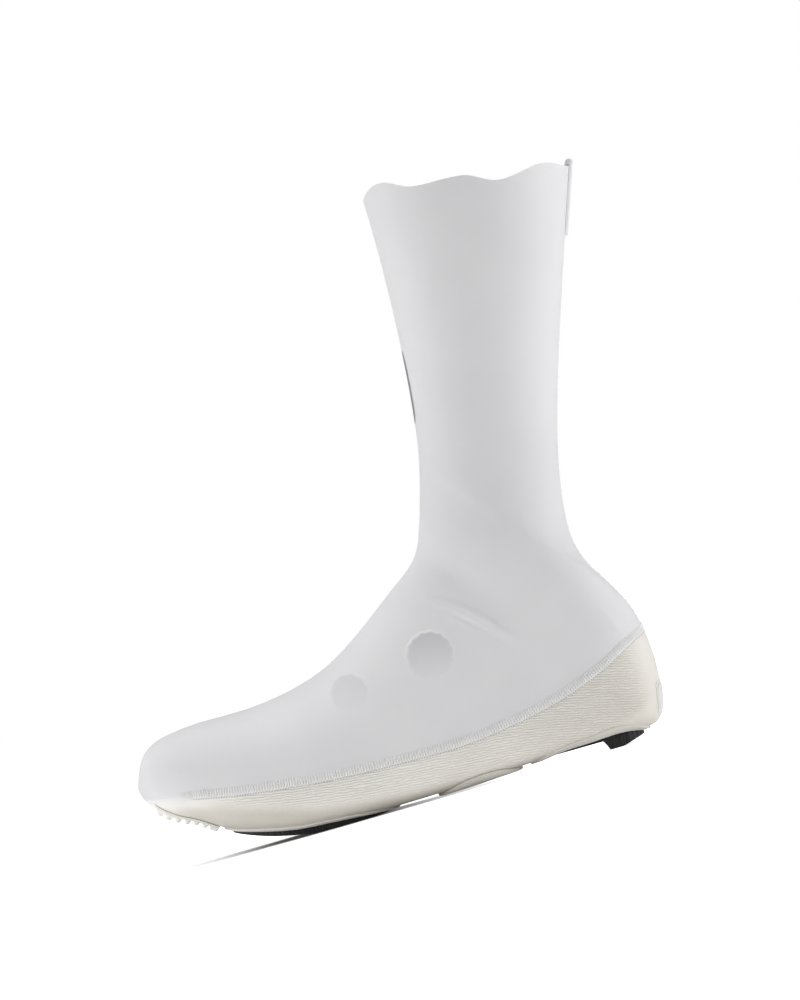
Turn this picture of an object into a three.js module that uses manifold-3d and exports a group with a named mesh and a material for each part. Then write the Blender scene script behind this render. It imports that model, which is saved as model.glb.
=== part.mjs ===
// A tall rain overshoe for a left riding shoe: a stretch-fabric foot and shaft, sewn to a ribbed rand that
// wraps under the sole, with black tread plates at ball and heel. It stands on a floor at z = 0.
import * as THREE from "three";
import { mergeVertices } from "three/addons/utils/BufferGeometryUtils.js";
import Module from "manifold-3d";

const wasm = await Module();
wasm.setup();

// Driving dimensions, in millimetres. X runs from toe to heel, Y from the outer side to the inner, Z up.
const LENGTH = 288; // toe tip to back of heel
const BALL_WIDTH = 103; // across the ball
const HEEL_WIDTH = 75; // across the heel
const PANEL_CLEAR = 2.1; // floor to the lowest point of the bottom panel, at the waist
const THROAT_HEIGHT = 130; // floor to the bend in front of the ankle
const SHAFT_RISE = 198.7; // throat to the highest point of the collar
const ANKLE_WIDTH = 66.6; // across the ankle
const ANKLE_DEPTH = 65; // front to back run of the slanted section at the ankle
const COLLAR_WIDTH = 100.6; // across the collar
const COLLAR_DEPTH = 113.5; // front to back of the collar
const COLLAR_DROP = 8; // deepest dip of the wavy collar edge, at the front
const WALL = 1.3; // fabric of upper and rand
const FIT_GAP = 0.3; // between pieces that lie on each other
const SEAM_WIDTH = 5.4; // overlock seam between upper and rand
const SEAM_THICK = 0.9;
const SEAM_START = 22; // how far behind the toe tip the overlock seam begins
const HEM_WIDTH = 3.6; // turned hem round each sole opening
const HEM_THICK = 0.7;
const PLATE_THICK = 2; // tread plate where it lies inside on the rand
const PLATE_FLANGE = 3.5; // how far a plate reaches over the rand round its opening
const BALL_FLAT_LENGTH = 18; // flat spot under the ball
const BALL_PROUD = 2; // tread below the rand at the front of its opening
const BALL_TAIL_PROUD = 0.6; // and at the back
const HEEL_FLAT_LENGTH = 8; // flat spot under the heel
const HEEL_PAD_STEP = 2.5; // run of the slope in front of the heel pad
const HEEL_RECESS = 0.5; // plate above the rand's surface in front of the heel pad
const HEEL_PROUD = 2.4; // tread below the rand at the back of its opening
const TOE_TREAD_WIDTH = 36; // toothed toe tread
const TOE_TREAD_THICK = 1.1; // to the roots of its teeth
const TREAD_SEAT = 3; // how far the toe tread is drawn up, to be cut by the rand's form
const TOOTH_PITCH = 5;
const TOOTH_DEPTH = 2;
const LAST_LUG = 9; // length of the wide lug behind the teeth
const TOOTH_FLANK = 0.42; // a tooth's sloping flank, as a share of its pitch
const LUG_FLANK = 0.15; // the lug's, as a share of its length
const STRAP_THICK = 1.7; // strap across the waist
const PATCH_WIDTH = 32; // patch on the back of the heel
const PATCH_HEIGHT = 17.5;
const PATCH_THICK = 0.8;
const PATCH_CORNER = 3;
const TAB_WIDTH = 16; // pull tab folded over the back of the collar
const TAB_LENGTH = 38; // its outer leg
const TAB_INSIDE = 14; // its inner leg
const TAB_THICK = 0.9;
const TAB_BEAD = 1.9; // radius of the bead at its fold

// Mesh resolution.
const RINGS = 39;
const SIDES = 32;
const FINE_SIDES = 240;
const COLLAR_RINGS = 6; // rings that bend to follow the collar's wave

// Sections of the foot. under and over are the X of a section's lowest and highest point, as shares of
// LENGTH; low and high their heights, as shares of the throat's height over the panel; half is the half
// width, wide the height at which it is reached, as a share of the section. base and side say how square the
// lower half is, and crown how square the upper half. swing moves the section to the inner side, and lean
// its top.
const SECTION_VALUES = [
  "under", "low", "over", "high", "half", "wide", "base", "side", "crown", "swing", "lean",
];
const named = (row) => Object.fromEntries(SECTION_VALUES.map((name, i) => [name, row[i]]));
const FOREFOOT = [
  [0, 0.355, 0, 0.355, 0, 0.5, 2.2, 2.2, 2.2, 0.092, 0],
  [0.006, 0.312, 0.006, 0.402, 0.112, 0.5, 2.2, 2.2, 2.2, 0.092, 0],
  [0.015, 0.276, 0.015, 0.451, 0.199, 0.47, 2.4, 2.2, 2.3, 0.09, 0],
  [0.03, 0.246, 0.031, 0.501, 0.272, 0.43, 2.7, 2.3, 2.4, 0.086, 0],
  [0.059, 0.205, 0.059, 0.537, 0.335, 0.4, 3.1, 2.4, 2.4, 0.08, 0],
  [0.097, 0.166, 0.097, 0.554, 0.384, 0.37, 3.6, 2.6, 2.4, 0.07, 0],
  [0.146, 0.099, 0.146, 0.563, 0.429, 0.34, 4.2, 2.8, 2.35, 0.055, 0.005],
  [0.201, 0.054, 0.201, 0.562, 0.466, 0.32, 5, 3, 2.3, 0.038, 0.01],
  [0.264, 0.02, 0.264, 0.568, 0.491, 0.31, 5.6, 3.1, 2.2, 0.02, 0.02],
  [0.33, 0.009, 0.33, 0.592, 0.5, 0.3, 6, 3.2, 2.1, 0.004, 0.03],
  [0.396, 0.002, 0.396, 0.638, 0.489, 0.29, 6, 3.2, 2, -0.01, 0.04],
  [0.462, 0, 0.458, 0.715, 0.458, 0.28, 6, 3.2, 1.9, -0.022, 0.05],
  [0.528, 0.002, 0.51, 0.797, 0.422, 0.28, 6, 3.1, 1.85, -0.03, 0.055],
  [0.601, 0.007, 0.552, 0.867, 0.393, 0.28, 5.8, 3, 1.85, -0.03, 0.05],
  [0.684, 0.015, 0.583, 0.917, 0.375, 0.29, 5.6, 3, 1.9, -0.024, 0.04],
].map(named);

// Sections that fan from the sole round the heel to the ankle, with half as a share of HEEL_WIDTH.
const REARFOOT = [
  [0.771, 0.024, 0.6035, 0.953, 0.507, 0.31, 5.4, 2.9, 1.95, -0.015, 0.03],
  [0.858, 0.021, 0.6177, 0.988, 0.507, 0.33, 5, 2.8, 2, -0.008, 0.025],
  [0.927, 0.028, 0.6278, 1.025, 0.496, 0.35, 4.2, 2.5, 2.05, 0, 0.02],
  [0.975, 0.046, 0.6351, 1.0625, 0.488, 0.36, 3, 2.3, 2.1, 0, 0.015],
  [0.993, 0.13, 0.641, 1.1016, 0.483, 0.37, 2.4, 2.2, 2.15, 0, 0.01],
  [1, 0.265, 0.6479, 1.145, 0.48, 0.38, 2.2, 2.15, 2.2, 0, 0.01],
  [0.997, 0.406, 0.6542, 1.194, 0.472, 0.4, 2.15, 2.15, 2.2, 0, 0.01],
  [0.983, 0.539, 0.6611, 1.246, 0.461, 0.43, 2.15, 2.15, 2.2, 0, 0.01],
  [0.956, 0.66, 0.6681, 1.305, 0.453, 0.46, 2.15, 2.15, 2.2, 0, 0.01],
  [0.928, 0.7615, 0.6747, 1.3675, 0.448, 0.48, 2.15, 2.15, 2.2, 0, 0.005],
].map(named);

// Sections of the shaft. back and front are heights over the throat, as shares of SHAFT_RISE; over is the X
// of the front edge, and deep and full run from the ankle's depth and width (0) to the collar's (1).
const SHAFT = [
  { back: -0.088, front: 0.279, over: 0.6806, deep: 0.04, full: 0 },
  { back: -0.015, front: 0.327, over: 0.6858, deep: 0, full: 0.02 },
  { back: 0.0805, front: 0.3875, over: 0.691, deep: 0.015, full: 0.08 },
  { back: 0.206, front: 0.468, over: 0.6965, deep: 0.097, full: 0.22 },
  { back: 0.357, front: 0.5687, over: 0.7014, deep: 0.247, full: 0.39 },
  { back: 0.5385, front: 0.692, over: 0.7056, deep: 0.466, full: 0.62 },
  { back: 0.732, front: 0.83, over: 0.708, deep: 0.73, full: 0.84 },
  { back: 0.912, front: 1, over: 0.7066, deep: 1, full: 1 },
  { back: 1.092, front: 1.173, over: 0.704, deep: 1.27, full: 1.13 },
];
const SHAFT_SQUARE = 2.12; // 2 is an ellipse

// The wavy collar edge: turn is the angle from the front of the shin in degrees, dip a share of its drop.
const COLLAR_WAVE = [
  { turn: 0, dip: 1 },
  { turn: 37, dip: 0 },
  { turn: 58, dip: 0.5 },
  { turn: 88, dip: 0.19 },
  { turn: 108, dip: 0.74 },
  { turn: 140, dip: 0 },
  { turn: 163, dip: 0.28 },
  { turn: 180, dip: 0.28 },
];

// Height of the seam between upper and rand: at is a share of LENGTH, up a share of THROAT_HEIGHT.
const SEAM_LINE = [
  { at: -0.15, up: 0.37 },
  { at: 0, up: 0.322 },
  { at: 0.082, up: 0.296 },
  { at: 0.184, up: 0.258 },
  { at: 0.297, up: 0.227 },
  { at: 0.4, up: 0.21 },
  { at: 0.49, up: 0.203 },
  { at: 0.56, up: 0.2 },
  { at: 0.625, up: 0.204 },
  { at: 0.727, up: 0.233 },
  { at: 0.811, up: 0.275 },
  { at: 0.897, up: 0.344 },
  { at: 0.965, up: 0.42 },
  { at: 1, up: 0.47 },
  { at: 1.15, up: 0.66 },
];

// Round bumps where the closure dials of the shoe inside lift the fabric, on the outer side: at is a share
// of LENGTH, up a share of THROAT_HEIGHT, radius and lift in millimetres.
const DIAL_BUMPS = [
  { at: 0.596, up: 0.58, radius: 12.4, lift: 3.2 },
  { at: 0.432, up: 0.521, radius: 9.7, lift: 2 },
];
const BUMP_EDGE = 3.5; // width of a bump's sloping rim

// Where things lie along the underside: front, back and middle are shares of LENGTH, width of the foot's.
const BALL_OPENING = { front: 0.15, back: 0.454, width: 0.74 };
const HEEL_OPENING = { front: 0.735, back: 0.945, width: 0.7 };
const STRAP = { front: 0.54, back: 0.707, width: 0.8 };
const BALL_FLAT_MIDDLE = 0.378;
const HEEL_FLAT_FRONT = 0.873;
const TOE_TREAD = { front: 0.0245, back: 0.13 };
const PATCH_BOTTOM = 0.088; // lower edge of the heel patch, as a share of THROAT_HEIGHT
const SOLE_ZONE = 0.2; // everything under the foot lies below this share of THROAT_HEIGHT

const panelSpan = THROAT_HEIGHT - PANEL_CLEAR;
const mix = (a, b, share) => a + (b - a) * share;
const smooth = (share) => share * share * (3 - 2 * share);
const clamp01 = (value) => Math.min(1, Math.max(0, value));

const footSection = (row, width) => ({
  backX: row.under * LENGTH,
  backZ: PANEL_CLEAR + row.low * panelSpan,
  frontX: row.over * LENGTH,
  frontZ: PANEL_CLEAR + row.high * panelSpan,
  half: row.half * width,
  wide: row.wide,
  base: row.base,
  side: row.side,
  crown: row.crown,
  swing: row.swing * BALL_WIDTH,
  lean: row.lean * BALL_WIDTH,
});

const shaftSection = (row) => ({
  backX: row.over * LENGTH + mix(ANKLE_DEPTH, COLLAR_DEPTH, row.deep),
  backZ: THROAT_HEIGHT + row.back * SHAFT_RISE,
  frontX: row.over * LENGTH,
  frontZ: THROAT_HEIGHT + row.front * SHAFT_RISE,
  half: mix(ANKLE_WIDTH, COLLAR_WIDTH, row.full) / 2,
  wide: 0.5,
  base: SHAFT_SQUARE,
  side: SHAFT_SQUARE,
  crown: SHAFT_SQUARE,
  swing: 0,
  lean: 0,
});

const sections = [
  ...FOREFOOT.map((row) => footSection(row, BALL_WIDTH)),
  ...REARFOOT.map((row) => footSection(row, HEEL_WIDTH)),
  ...SHAFT.map(shaftSection),
];
const collarStation = sections.length - 2;
const heelStation = FOREFOOT.length; // first section of the rear foot

// The section before the toe tip is the first one turned over, so that the toe closes round.
const beforeTip = {
  ...sections[1],
  backX: sections[1].frontX,
  backZ: sections[1].frontZ,
  frontX: sections[1].backX,
  frontZ: sections[1].backZ,
  half: -sections[1].half,
};

// A smooth curve through four values, at share 0 to 1 between the middle two.
function catmull(a, b, c, d, share) {
  const p = (c - a) / 2;
  const q = (d - b) / 2;
  const r = 2 * (b - c) + p + q;
  return b + share * (p + share * (3 * (c - b) - 2 * p - q + share * r));
}

function sectionAt(station) {
  const last = sections.length - 1;
  const i = Math.min(last - 1, Math.max(0, Math.floor(station)));
  const share = station - i;
  const a = i === 0 ? beforeTip : sections[i - 1];
  const b = sections[i];
  const c = sections[i + 1];
  const made = {};
  for (const key of Object.keys(b)) {
    const d = i + 2 > last ? 2 * c[key] - b[key] : sections[i + 2][key];
    made[key] = catmull(a[key], b[key], c[key], d, share);
  }
  return made;
}

// How far a dial bump lifts the fabric at x, z on the outer side.
function bumpAt(point) {
  if (point.y > 0) return 0;
  return DIAL_BUMPS.reduce((sum, bump) => {
    const dx = point.x - bump.at * LENGTH;
    const dz = point.z - bump.up * THROAT_HEIGHT;
    const rim = clamp01((bump.radius - Math.hypot(dx, dz)) / BUMP_EDGE + 0.5);
    return sum + bump.lift * smooth(rim) * clamp01(0.5 + dz / bump.radius / 2);
  }, 0);
}

// The points of one section, evenly spaced round it from its lowest point, first up the outer side.
const ringCache = new Map();
function ringAt(station) {
  if (ringCache.has(station)) return ringCache.get(station);
  const s = sectionAt(station);
  const fine = [];
  for (let i = 0; i <= FINE_SIDES; i += 1) {
    const angle = (i / FINE_SIDES) * 2 * Math.PI;
    const c = Math.cos(angle);
    const lower = c > 0;
    const reach = Math.abs(c) ** (2 / (lower ? s.side : s.crown));
    const share = lower ? s.wide * (1 - reach) : s.wide + (1 - s.wide) * reach;
    const out = Math.abs(Math.sin(angle)) ** (2 / (lower ? s.base : s.crown));
    const y = s.swing + s.lean * share - Math.sign(Math.sin(angle)) * s.half * out;
    fine.push(new THREE.Vector3(mix(s.backX, s.frontX, share), y, mix(s.backZ, s.frontZ, share)));
  }
  const run = [0];
  for (let i = 1; i < fine.length; i += 1) run.push(run[i - 1] + fine[i].distanceTo(fine[i - 1]));
  const ring = [];
  let k = 1;
  for (let j = 0; j < SIDES; j += 1) {
    const goal = (j / SIDES) * run[FINE_SIDES];
    while (k < FINE_SIDES && run[k] < goal) k += 1;
    const share = (goal - run[k - 1]) / (run[k] - run[k - 1] || 1);
    ring.push(fine[k - 1].clone().lerp(fine[k], share));
  }
  ringCache.set(station, ring);
  return ring;
}

// How far the collar's edge dips below its highest plane, for the ring's point j.
function collarDip(j) {
  const turn = Math.abs(180 - (j / SIDES) * 360);
  const k = Math.max(1, COLLAR_WAVE.findIndex((row) => row.turn >= turn));
  const [a, b] = [COLLAR_WAVE[k - 1], COLLAR_WAVE[k]];
  return COLLAR_DROP * mix(a.dip, b.dip, smooth((turn - a.turn) / (b.turn - a.turn)));
}

// Station of the ring's point j, pulled down near the collar so that the last ring lies on the wavy edge.
const collarPitch = SHAFT_RISE * (SHAFT[7].front - SHAFT[6].front);
function stationOf(ring, j) {
  const even = (ring / (RINGS - 1)) * collarStation;
  const bend = clamp01((ring - (RINGS - 1 - COLLAR_RINGS)) / COLLAR_RINGS);
  return even - (bend * collarDip(j)) / collarPitch;
}

// Outer skin of the whole boot as rings of points with their outward normals.
const skin = [];
for (let ring = 0; ring < RINGS; ring += 1) {
  const row = [];
  for (let j = 0; j < SIDES; j += 1) {
    const station = stationOf(ring, j);
    row.push(ringAt(station)[j].clone());
  }
  skin.push(row);
}
const topRise = skin[RINGS - 1].map((p, j) => p.clone().sub(skin[RINGS - 2][j]).normalize());
const normals = skin.map((row, ring) =>
  row.map((point, j) => {
    if (ring === 0) return new THREE.Vector3(-1, 0, 0);
    const up = skin[Math.min(RINGS - 1, ring + 1)][j].clone().sub(skin[ring - 1][j]);
    const round = row[(j + 1) % SIDES].clone().sub(row[(j + SIDES - 1) % SIDES]);
    return round.cross(up).normalize().negate();
  }),
);
skin.forEach((row, ring) =>
  row.forEach((point, j) => point.addScaledVector(normals[ring][j], bumpAt(point))),
);

// A closed mesh as a solid that can be joined and cut.
function solidOf(geometry) {
  const plain = geometry.clone();
  plain.deleteAttribute("normal");
  plain.deleteAttribute("uv");
  const merged = mergeVertices(plain, 1e-4);
  return new wasm.Manifold(
    new wasm.Mesh({
      numProp: 3,
      vertProperties: merged.attributes.position.array,
      triVerts: new Uint32Array(merged.index.array),
    }),
  );
}

// The whole boot, solid to its outer skin moved out by grow, with its collar raised by rise.
const INNER_RISE = 25;
function body(grow, rise = 0) {
  const rings = skin.slice(1).map((row, i) =>
    row.map((point, j) => point.clone().addScaledVector(normals[i + 1][j], grow)),
  );
  if (rise > 0) {
    rings.push(rings.at(-1).map((point, j) => point.clone().addScaledVector(topRise[j], rise)));
  }
  const tip = skin[0][0].clone().addScaledVector(normals[0][0], grow);
  const lid = rings.at(-1).reduce((sum, p) => sum.add(p), new THREE.Vector3()).divideScalar(SIDES);
  const points = [tip, ...rings.flat(), lid];
  const at = (ring, j) => 1 + ring * SIDES + (j % SIDES);
  const faces = [];
  for (let j = 0; j < SIDES; j += 1) {
    faces.push(0, at(0, j), at(0, j + 1));
    for (let ring = 0; ring + 1 < rings.length; ring += 1) {
      faces.push(at(ring, j), at(ring + 1, j), at(ring + 1, j + 1));
      faces.push(at(ring, j), at(ring + 1, j + 1), at(ring, j + 1));
    }
    faces.push(at(rings.length - 1, j), points.length - 1, at(rings.length - 1, j + 1));
  }
  const geometry = new THREE.BufferGeometry().setFromPoints(points);
  geometry.setIndex(faces);
  return solidOf(geometry);
}

// A skin of the boot between two distances from its outer surface, open at the collar.
const layer = (from, to) => body(to).subtract(body(from, INNER_RISE));

// A profile drawn in X and Z, as a solid of some width, or right across.
const WHOLE_WIDTH = 4 * BALL_WIDTH;
function across(profile, width = WHOLE_WIDTH, middle = 0) {
  const shape = new THREE.Shape(profile.map(([x, z]) => new THREE.Vector2(x, z)));
  const geometry = new THREE.ExtrudeGeometry(shape, { depth: width, bevelEnabled: false });
  return solidOf(geometry.rotateX(Math.PI / 2).translate(0, middle + width / 2, 0));
}

// A plan outline in X and Y, as a post through everything under the foot.
const soleTop = SOLE_ZONE * THROAT_HEIGHT;
function post(outline) {
  const shape = new THREE.Shape(outline.map(([x, y]) => new THREE.Vector2(x, y)));
  const geometry = new THREE.ExtrudeGeometry(shape, { depth: 2 * soleTop, bevelEnabled: false });
  return solidOf(geometry.translate(0, 0, -soleTop));
}

// A closed outline moved out by a distance.
function grown(outline, distance) {
  const count = outline.length;
  const turn = outline.reduce((sum, [x, y], i) => {
    const [nextX, nextY] = outline[(i + 1) % count];
    return sum + x * nextY - nextX * y;
  }, 0);
  return outline.map(([x, y], i) => {
    const [beforeX, beforeY] = outline[(i + count - 1) % count];
    const [nextX, nextY] = outline[(i + 1) % count];
    const scale = (Math.sign(turn) * distance) / Math.hypot(nextX - beforeX, nextY - beforeY);
    return [x + (nextY - beforeY) * scale, y - (nextX - beforeX) * scale];
  });
}

// The section whose lowest point lies at x under the foot.
const HEEL_END_STATION = heelStation + 5;
function sectionUnder(x) {
  let [low, high] = [0, HEEL_END_STATION];
  while (high - low > 1e-6) {
    const middle = (low + high) / 2;
    if (sectionAt(middle).backX < x) low = middle;
    else high = middle;
  }
  return sectionAt(low);
}
const panelAt = (x) => sectionUnder(x).backZ;

// A rounded plan outline under the foot.
const OUTLINE_POINTS = 28;
const OUTLINE_SQUARE = 3;
function underfoot(place) {
  const bend = (value) => Math.sign(value) * Math.abs(value) ** (2 / OUTLINE_SQUARE);
  const outline = [];
  for (let i = 0; i < OUTLINE_POINTS; i += 1) {
    const angle = (i / OUTLINE_POINTS) * 2 * Math.PI;
    const x = mix(place.front, place.back, 0.5 + bend(Math.cos(angle)) / 2) * LENGTH;
    const s = sectionUnder(x);
    outline.push([x, s.swing + place.width * s.half * bend(Math.sin(angle))]);
  }
  return outline;
}

function seamHeight(x) {
  const at = x / LENGTH;
  const last = SEAM_LINE.length - 1;
  const next = SEAM_LINE.findIndex((row) => row.at > at);
  const k = Math.min(last - 1, Math.max(0, (next < 0 ? last : next) - 1));
  const near = [k - 1, k, k + 1, k + 2].map((i) => SEAM_LINE[Math.min(last, Math.max(0, i))]);
  const share = (at - near[1].at) / (near[2].at - near[1].at);
  return THROAT_HEIGHT * catmull(...near.map((row) => row.up), share);
}

// The seam line in X and Z, moved up by a distance at right angles to itself.
const SEAM_STEPS = 32;
const SEAM_OVERRUN = 0.08 * LENGTH;
function seamCurve(distance) {
  const curve = [];
  for (let i = 0; i <= SEAM_STEPS; i += 1) {
    const x = mix(-SEAM_OVERRUN, LENGTH + SEAM_OVERRUN, i / SEAM_STEPS);
    const slope = (seamHeight(x + 1) - seamHeight(x - 1)) / 2;
    const scale = distance / Math.hypot(1, slope);
    curve.push([x - slope * scale, seamHeight(x) + scale]);
  }
  return curve;
}
const farUp = 3 * (THROAT_HEIGHT + SHAFT_RISE);
const sheet = (distance, z) => {
  const curve = seamCurve(distance);
  return across([...curve, [curve.at(-1)[0] + LENGTH, z], [curve[0][0] - LENGTH, z]]);
};
const aboveSeam = (distance) => sheet(distance, farUp);
const belowSeam = (distance) => sheet(distance, -farUp);

// The fabric: the upper above the seam, and below it the rand with its two openings.
const inside = -(WALL + FIT_GAP);
const fabric = layer(-WALL, 0);
const openings = [underfoot(BALL_OPENING), underfoot(HEEL_OPENING)];
const upper = fabric.intersect(aboveSeam(FIT_GAP / 2));
const rand = openings.reduce(
  (solid, outline) => solid.subtract(post(outline)),
  fabric.intersect(belowSeam(-FIT_GAP / 2)),
);

// The raised overlock seam, open round the toe.
const behindToe = across([
  [SEAM_START, -farUp],
  [LENGTH * 2, -farUp],
  [LENGTH * 2, farUp],
  [SEAM_START, farUp],
]);
const seamBand = layer(FIT_GAP, FIT_GAP + SEAM_THICK)
  .intersect(aboveSeam(-SEAM_WIDTH / 2))
  .intersect(belowSeam(SEAM_WIDTH / 2))
  .intersect(behindToe);

// A hem on the rand round an opening, and other pieces that lie on the rand.
const hem = (outline) =>
  layer(FIT_GAP, FIT_GAP + HEM_THICK)
    .intersect(post(grown(outline, HEM_WIDTH)))
    .subtract(post(outline));
const strap = layer(FIT_GAP, FIT_GAP + STRAP_THICK).intersect(post(underfoot(STRAP)));

// A tread plate: a flange inside on the rand, and a plug through the opening down to the tread's profile.
function plate(outline, tread) {
  const room = body(inside);
  const hollow = body(inside - PLATE_THICK);
  const zone = across([...tread, [tread.at(-1)[0], soleTop], [tread[0][0], soleTop]]);
  const flange = room.intersect(post(grown(outline, PLATE_FLANGE)));
  const plug = post(grown(outline, -FIT_GAP)).intersect(zone);
  return flange.add(plug).subtract(hollow);
}

// Half of a rocker: an arc that starts level at x on the floor and rises to a height at another x.
const ARC_STEPS = 9;
function rocker(level, end, rise) {
  const run = Math.abs(end - level);
  const radius = (run * run + rise * rise) / (2 * rise);
  const arc = [];
  for (let i = 0; i <= ARC_STEPS; i += 1) {
    const along = (i / ARC_STEPS) * run;
    arc.push([level + Math.sign(end - level) * along, radius - Math.sqrt(radius ** 2 - along ** 2)]);
  }
  return arc;
}

const ballFront = BALL_OPENING.front * LENGTH;
const ballBack = BALL_OPENING.back * LENGTH;
const ballFlat = BALL_FLAT_MIDDLE * LENGTH;
const ballTread = [
  ...rocker(ballFlat - BALL_FLAT_LENGTH / 2, ballFront, panelAt(ballFront) - BALL_PROUD).reverse(),
  ...rocker(ballFlat + BALL_FLAT_LENGTH / 2, ballBack, panelAt(ballBack) - BALL_TAIL_PROUD),
];
const heelFront = HEEL_OPENING.front * LENGTH;
const heelBack = HEEL_OPENING.back * LENGTH;
const heelFlat = HEEL_FLAT_FRONT * LENGTH;
const heelTread = [
  [heelFront, panelAt(heelFront) + HEEL_RECESS],
  [heelFlat - HEEL_PAD_STEP, panelAt(heelFlat) + HEEL_RECESS],
  [heelFlat, 0],
  [heelFlat + HEEL_FLAT_LENGTH, 0],
  [heelBack, panelAt(heelBack) - HEEL_PROUD],
];

// A point below the panel's lowest line at x, at a distance at right angles to it.
const SLOPE_STEP = 0.5;
const panelSlope = (x) => (panelAt(x + SLOPE_STEP) - panelAt(x - SLOPE_STEP)) / (2 * SLOPE_STEP);
function below(x, distance) {
  const slope = panelSlope(x);
  const scale = distance / Math.hypot(1, slope);
  return [x + slope * scale, panelAt(x) - scale];
}

// The toe tread: a strip right across under the tip, with teeth and a wide lug behind them.
function toeTread() {
  const [front, back] = [TOE_TREAD.front * LENGTH, TOE_TREAD.back * LENGTH];
  const roots = FIT_GAP + TOE_TREAD_THICK;
  const profile = [below(front, roots)];
  const lug = (from, to, flank) => {
    profile.push(below(mix(from, to, flank), roots + TOOTH_DEPTH));
    profile.push(below(mix(to, from, flank), roots + TOOTH_DEPTH));
    profile.push(below(to, roots));
  };
  let x = front;
  while (x < back - LAST_LUG) {
    const next = x + TOOTH_PITCH / Math.hypot(1, panelSlope(x));
    lug(x, next, TOOTH_FLANK);
    x = next;
  }
  lug(x, back, LUG_FLANK);
  profile.push(below(back, -TREAD_SEAT), below(x, -TREAD_SEAT), below(front, -TREAD_SEAT));
  return across(profile, TOE_TREAD_WIDTH, sectionUnder(back).swing)
    .intersect(body(roots + TOOTH_DEPTH))
    .subtract(body(FIT_GAP));
}

// The patch on the back of the heel.
function heelPatch() {
  const [half, top, corner] = [PATCH_WIDTH / 2, PATCH_HEIGHT, PATCH_CORNER];
  const shape = new THREE.Shape();
  shape.absarc(half - corner, corner, corner, -Math.PI / 2, 0);
  shape.absarc(half - corner, top - corner, corner, 0, Math.PI / 2);
  shape.absarc(corner - half, top - corner, corner, Math.PI / 2, Math.PI);
  shape.absarc(corner - half, corner, corner, Math.PI, 1.5 * Math.PI);
  const depth = LENGTH / 4;
  const geometry = new THREE.ExtrudeGeometry(shape, { depth, bevelEnabled: false, curveSegments: 3 });
  geometry.rotateX(Math.PI / 2).rotateZ(Math.PI / 2);
  geometry.translate(LENGTH - depth / 2, 0, PATCH_BOTTOM * THROAT_HEIGHT);
  return layer(FIT_GAP, FIT_GAP + PATCH_THICK).intersect(solidOf(geometry));
}

// The pull tab: a tape folded over the back of the collar, with a bead at its fold.
const BEAD_SIDES = 10;
function collarTab() {
  const edge = skin[RINGS - 1][0];
  const rise = topRise[0];
  const reach = FIT_GAP + TAB_THICK;
  const clear = body(FIT_GAP, FIT_GAP).subtract(body(inside, INNER_RISE));
  const bead = new THREE.CylinderGeometry(TAB_BEAD, TAB_BEAD, TAB_WIDTH, BEAD_SIDES);
  const middle = edge.clone().addScaledVector(normals[RINGS - 1][0], -WALL / 2);
  middle.addScaledVector(rise, FIT_GAP + TAB_BEAD);
  bead.translate(middle.x, middle.y, middle.z);
  const zone = (length) => {
    const low = edge.z - length * rise.z;
    const [near, far] = [edge.x - COLLAR_DEPTH / 3, edge.x + COLLAR_DEPTH];
    return across([[near, low], [far, low], [far, farUp], [near, farUp]], TAB_WIDTH);
  };
  const outer = body(reach, reach).subtract(body(inside, INNER_RISE)).intersect(zone(TAB_LENGTH));
  const hollow = body(inside - TAB_THICK, INNER_RISE);
  const inner = body(-WALL / 2, reach).subtract(hollow).intersect(zone(TAB_INSIDE));
  return outer.add(inner).add(solidOf(bead)).subtract(clear);
}

function meshOf(name, solid, colour, roughness) {
  const { vertProperties, triVerts } = solid.getMesh();
  const geometry = new THREE.BufferGeometry();
  geometry.setAttribute("position", new THREE.BufferAttribute(vertProperties, 3));
  geometry.setIndex(new THREE.BufferAttribute(triVerts, 1));
  geometry.computeVertexNormals();
  const material = new THREE.MeshStandardMaterial({ color: colour, roughness, metalness: 0 });
  const mesh = new THREE.Mesh(geometry, material);
  mesh.name = name;
  return mesh;
}

// The whole overshoe.
const group = new THREE.Group();
group.add(meshOf("upper", upper, 0xd4d3d6, 0.55));
group.add(meshOf("rand", rand, 0xcfc8bf, 0.8));
group.add(meshOf("seam_band", seamBand, 0xdcd8d2, 0.8));
group.add(meshOf("forefoot_outsole", plate(openings[0], ballTread), 0x1a1a17, 0.6));
group.add(meshOf("heel_pad", plate(openings[1], heelTread), 0x1a1a17, 0.6));
group.add(meshOf("forefoot_hem", hem(openings[0]), 0xdedad4, 0.8));
group.add(meshOf("heel_hem", hem(openings[1]), 0xdedad4, 0.8));
group.add(meshOf("arch_strap", strap, 0xdad9d3, 0.7));
group.add(meshOf("toe_bumper", toeTread(), 0xdadbd4, 0.6));
group.add(meshOf("heel_strip", heelPatch(), 0xe4e3e0, 0.6));
group.add(meshOf("collar_tab", collarTab(), 0xe6e6e8, 0.6));

// The origin: on the floor, under the middle of the whole.
const box = new THREE.Box3().setFromObject(group);
const centre = box.getCenter(new THREE.Vector3());
group.position.set(-centre.x, -centre.y, -box.min.z);

export default group;
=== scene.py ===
# Looks of a tall rain overshoe for a left riding shoe. Every piece is laid on one skin, which repeats the
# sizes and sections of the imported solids. X runs from toe to heel, Y from the outer side to the inner, Z up
# from the floor.
import math
from functools import cache

import bmesh
import bpy
import numpy as np
from bpy.props import FloatProperty, FloatVectorProperty, IntProperty, PointerProperty
from mathutils import Matrix, Vector, noise
from mathutils.bvhtree import BVHTree


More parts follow.
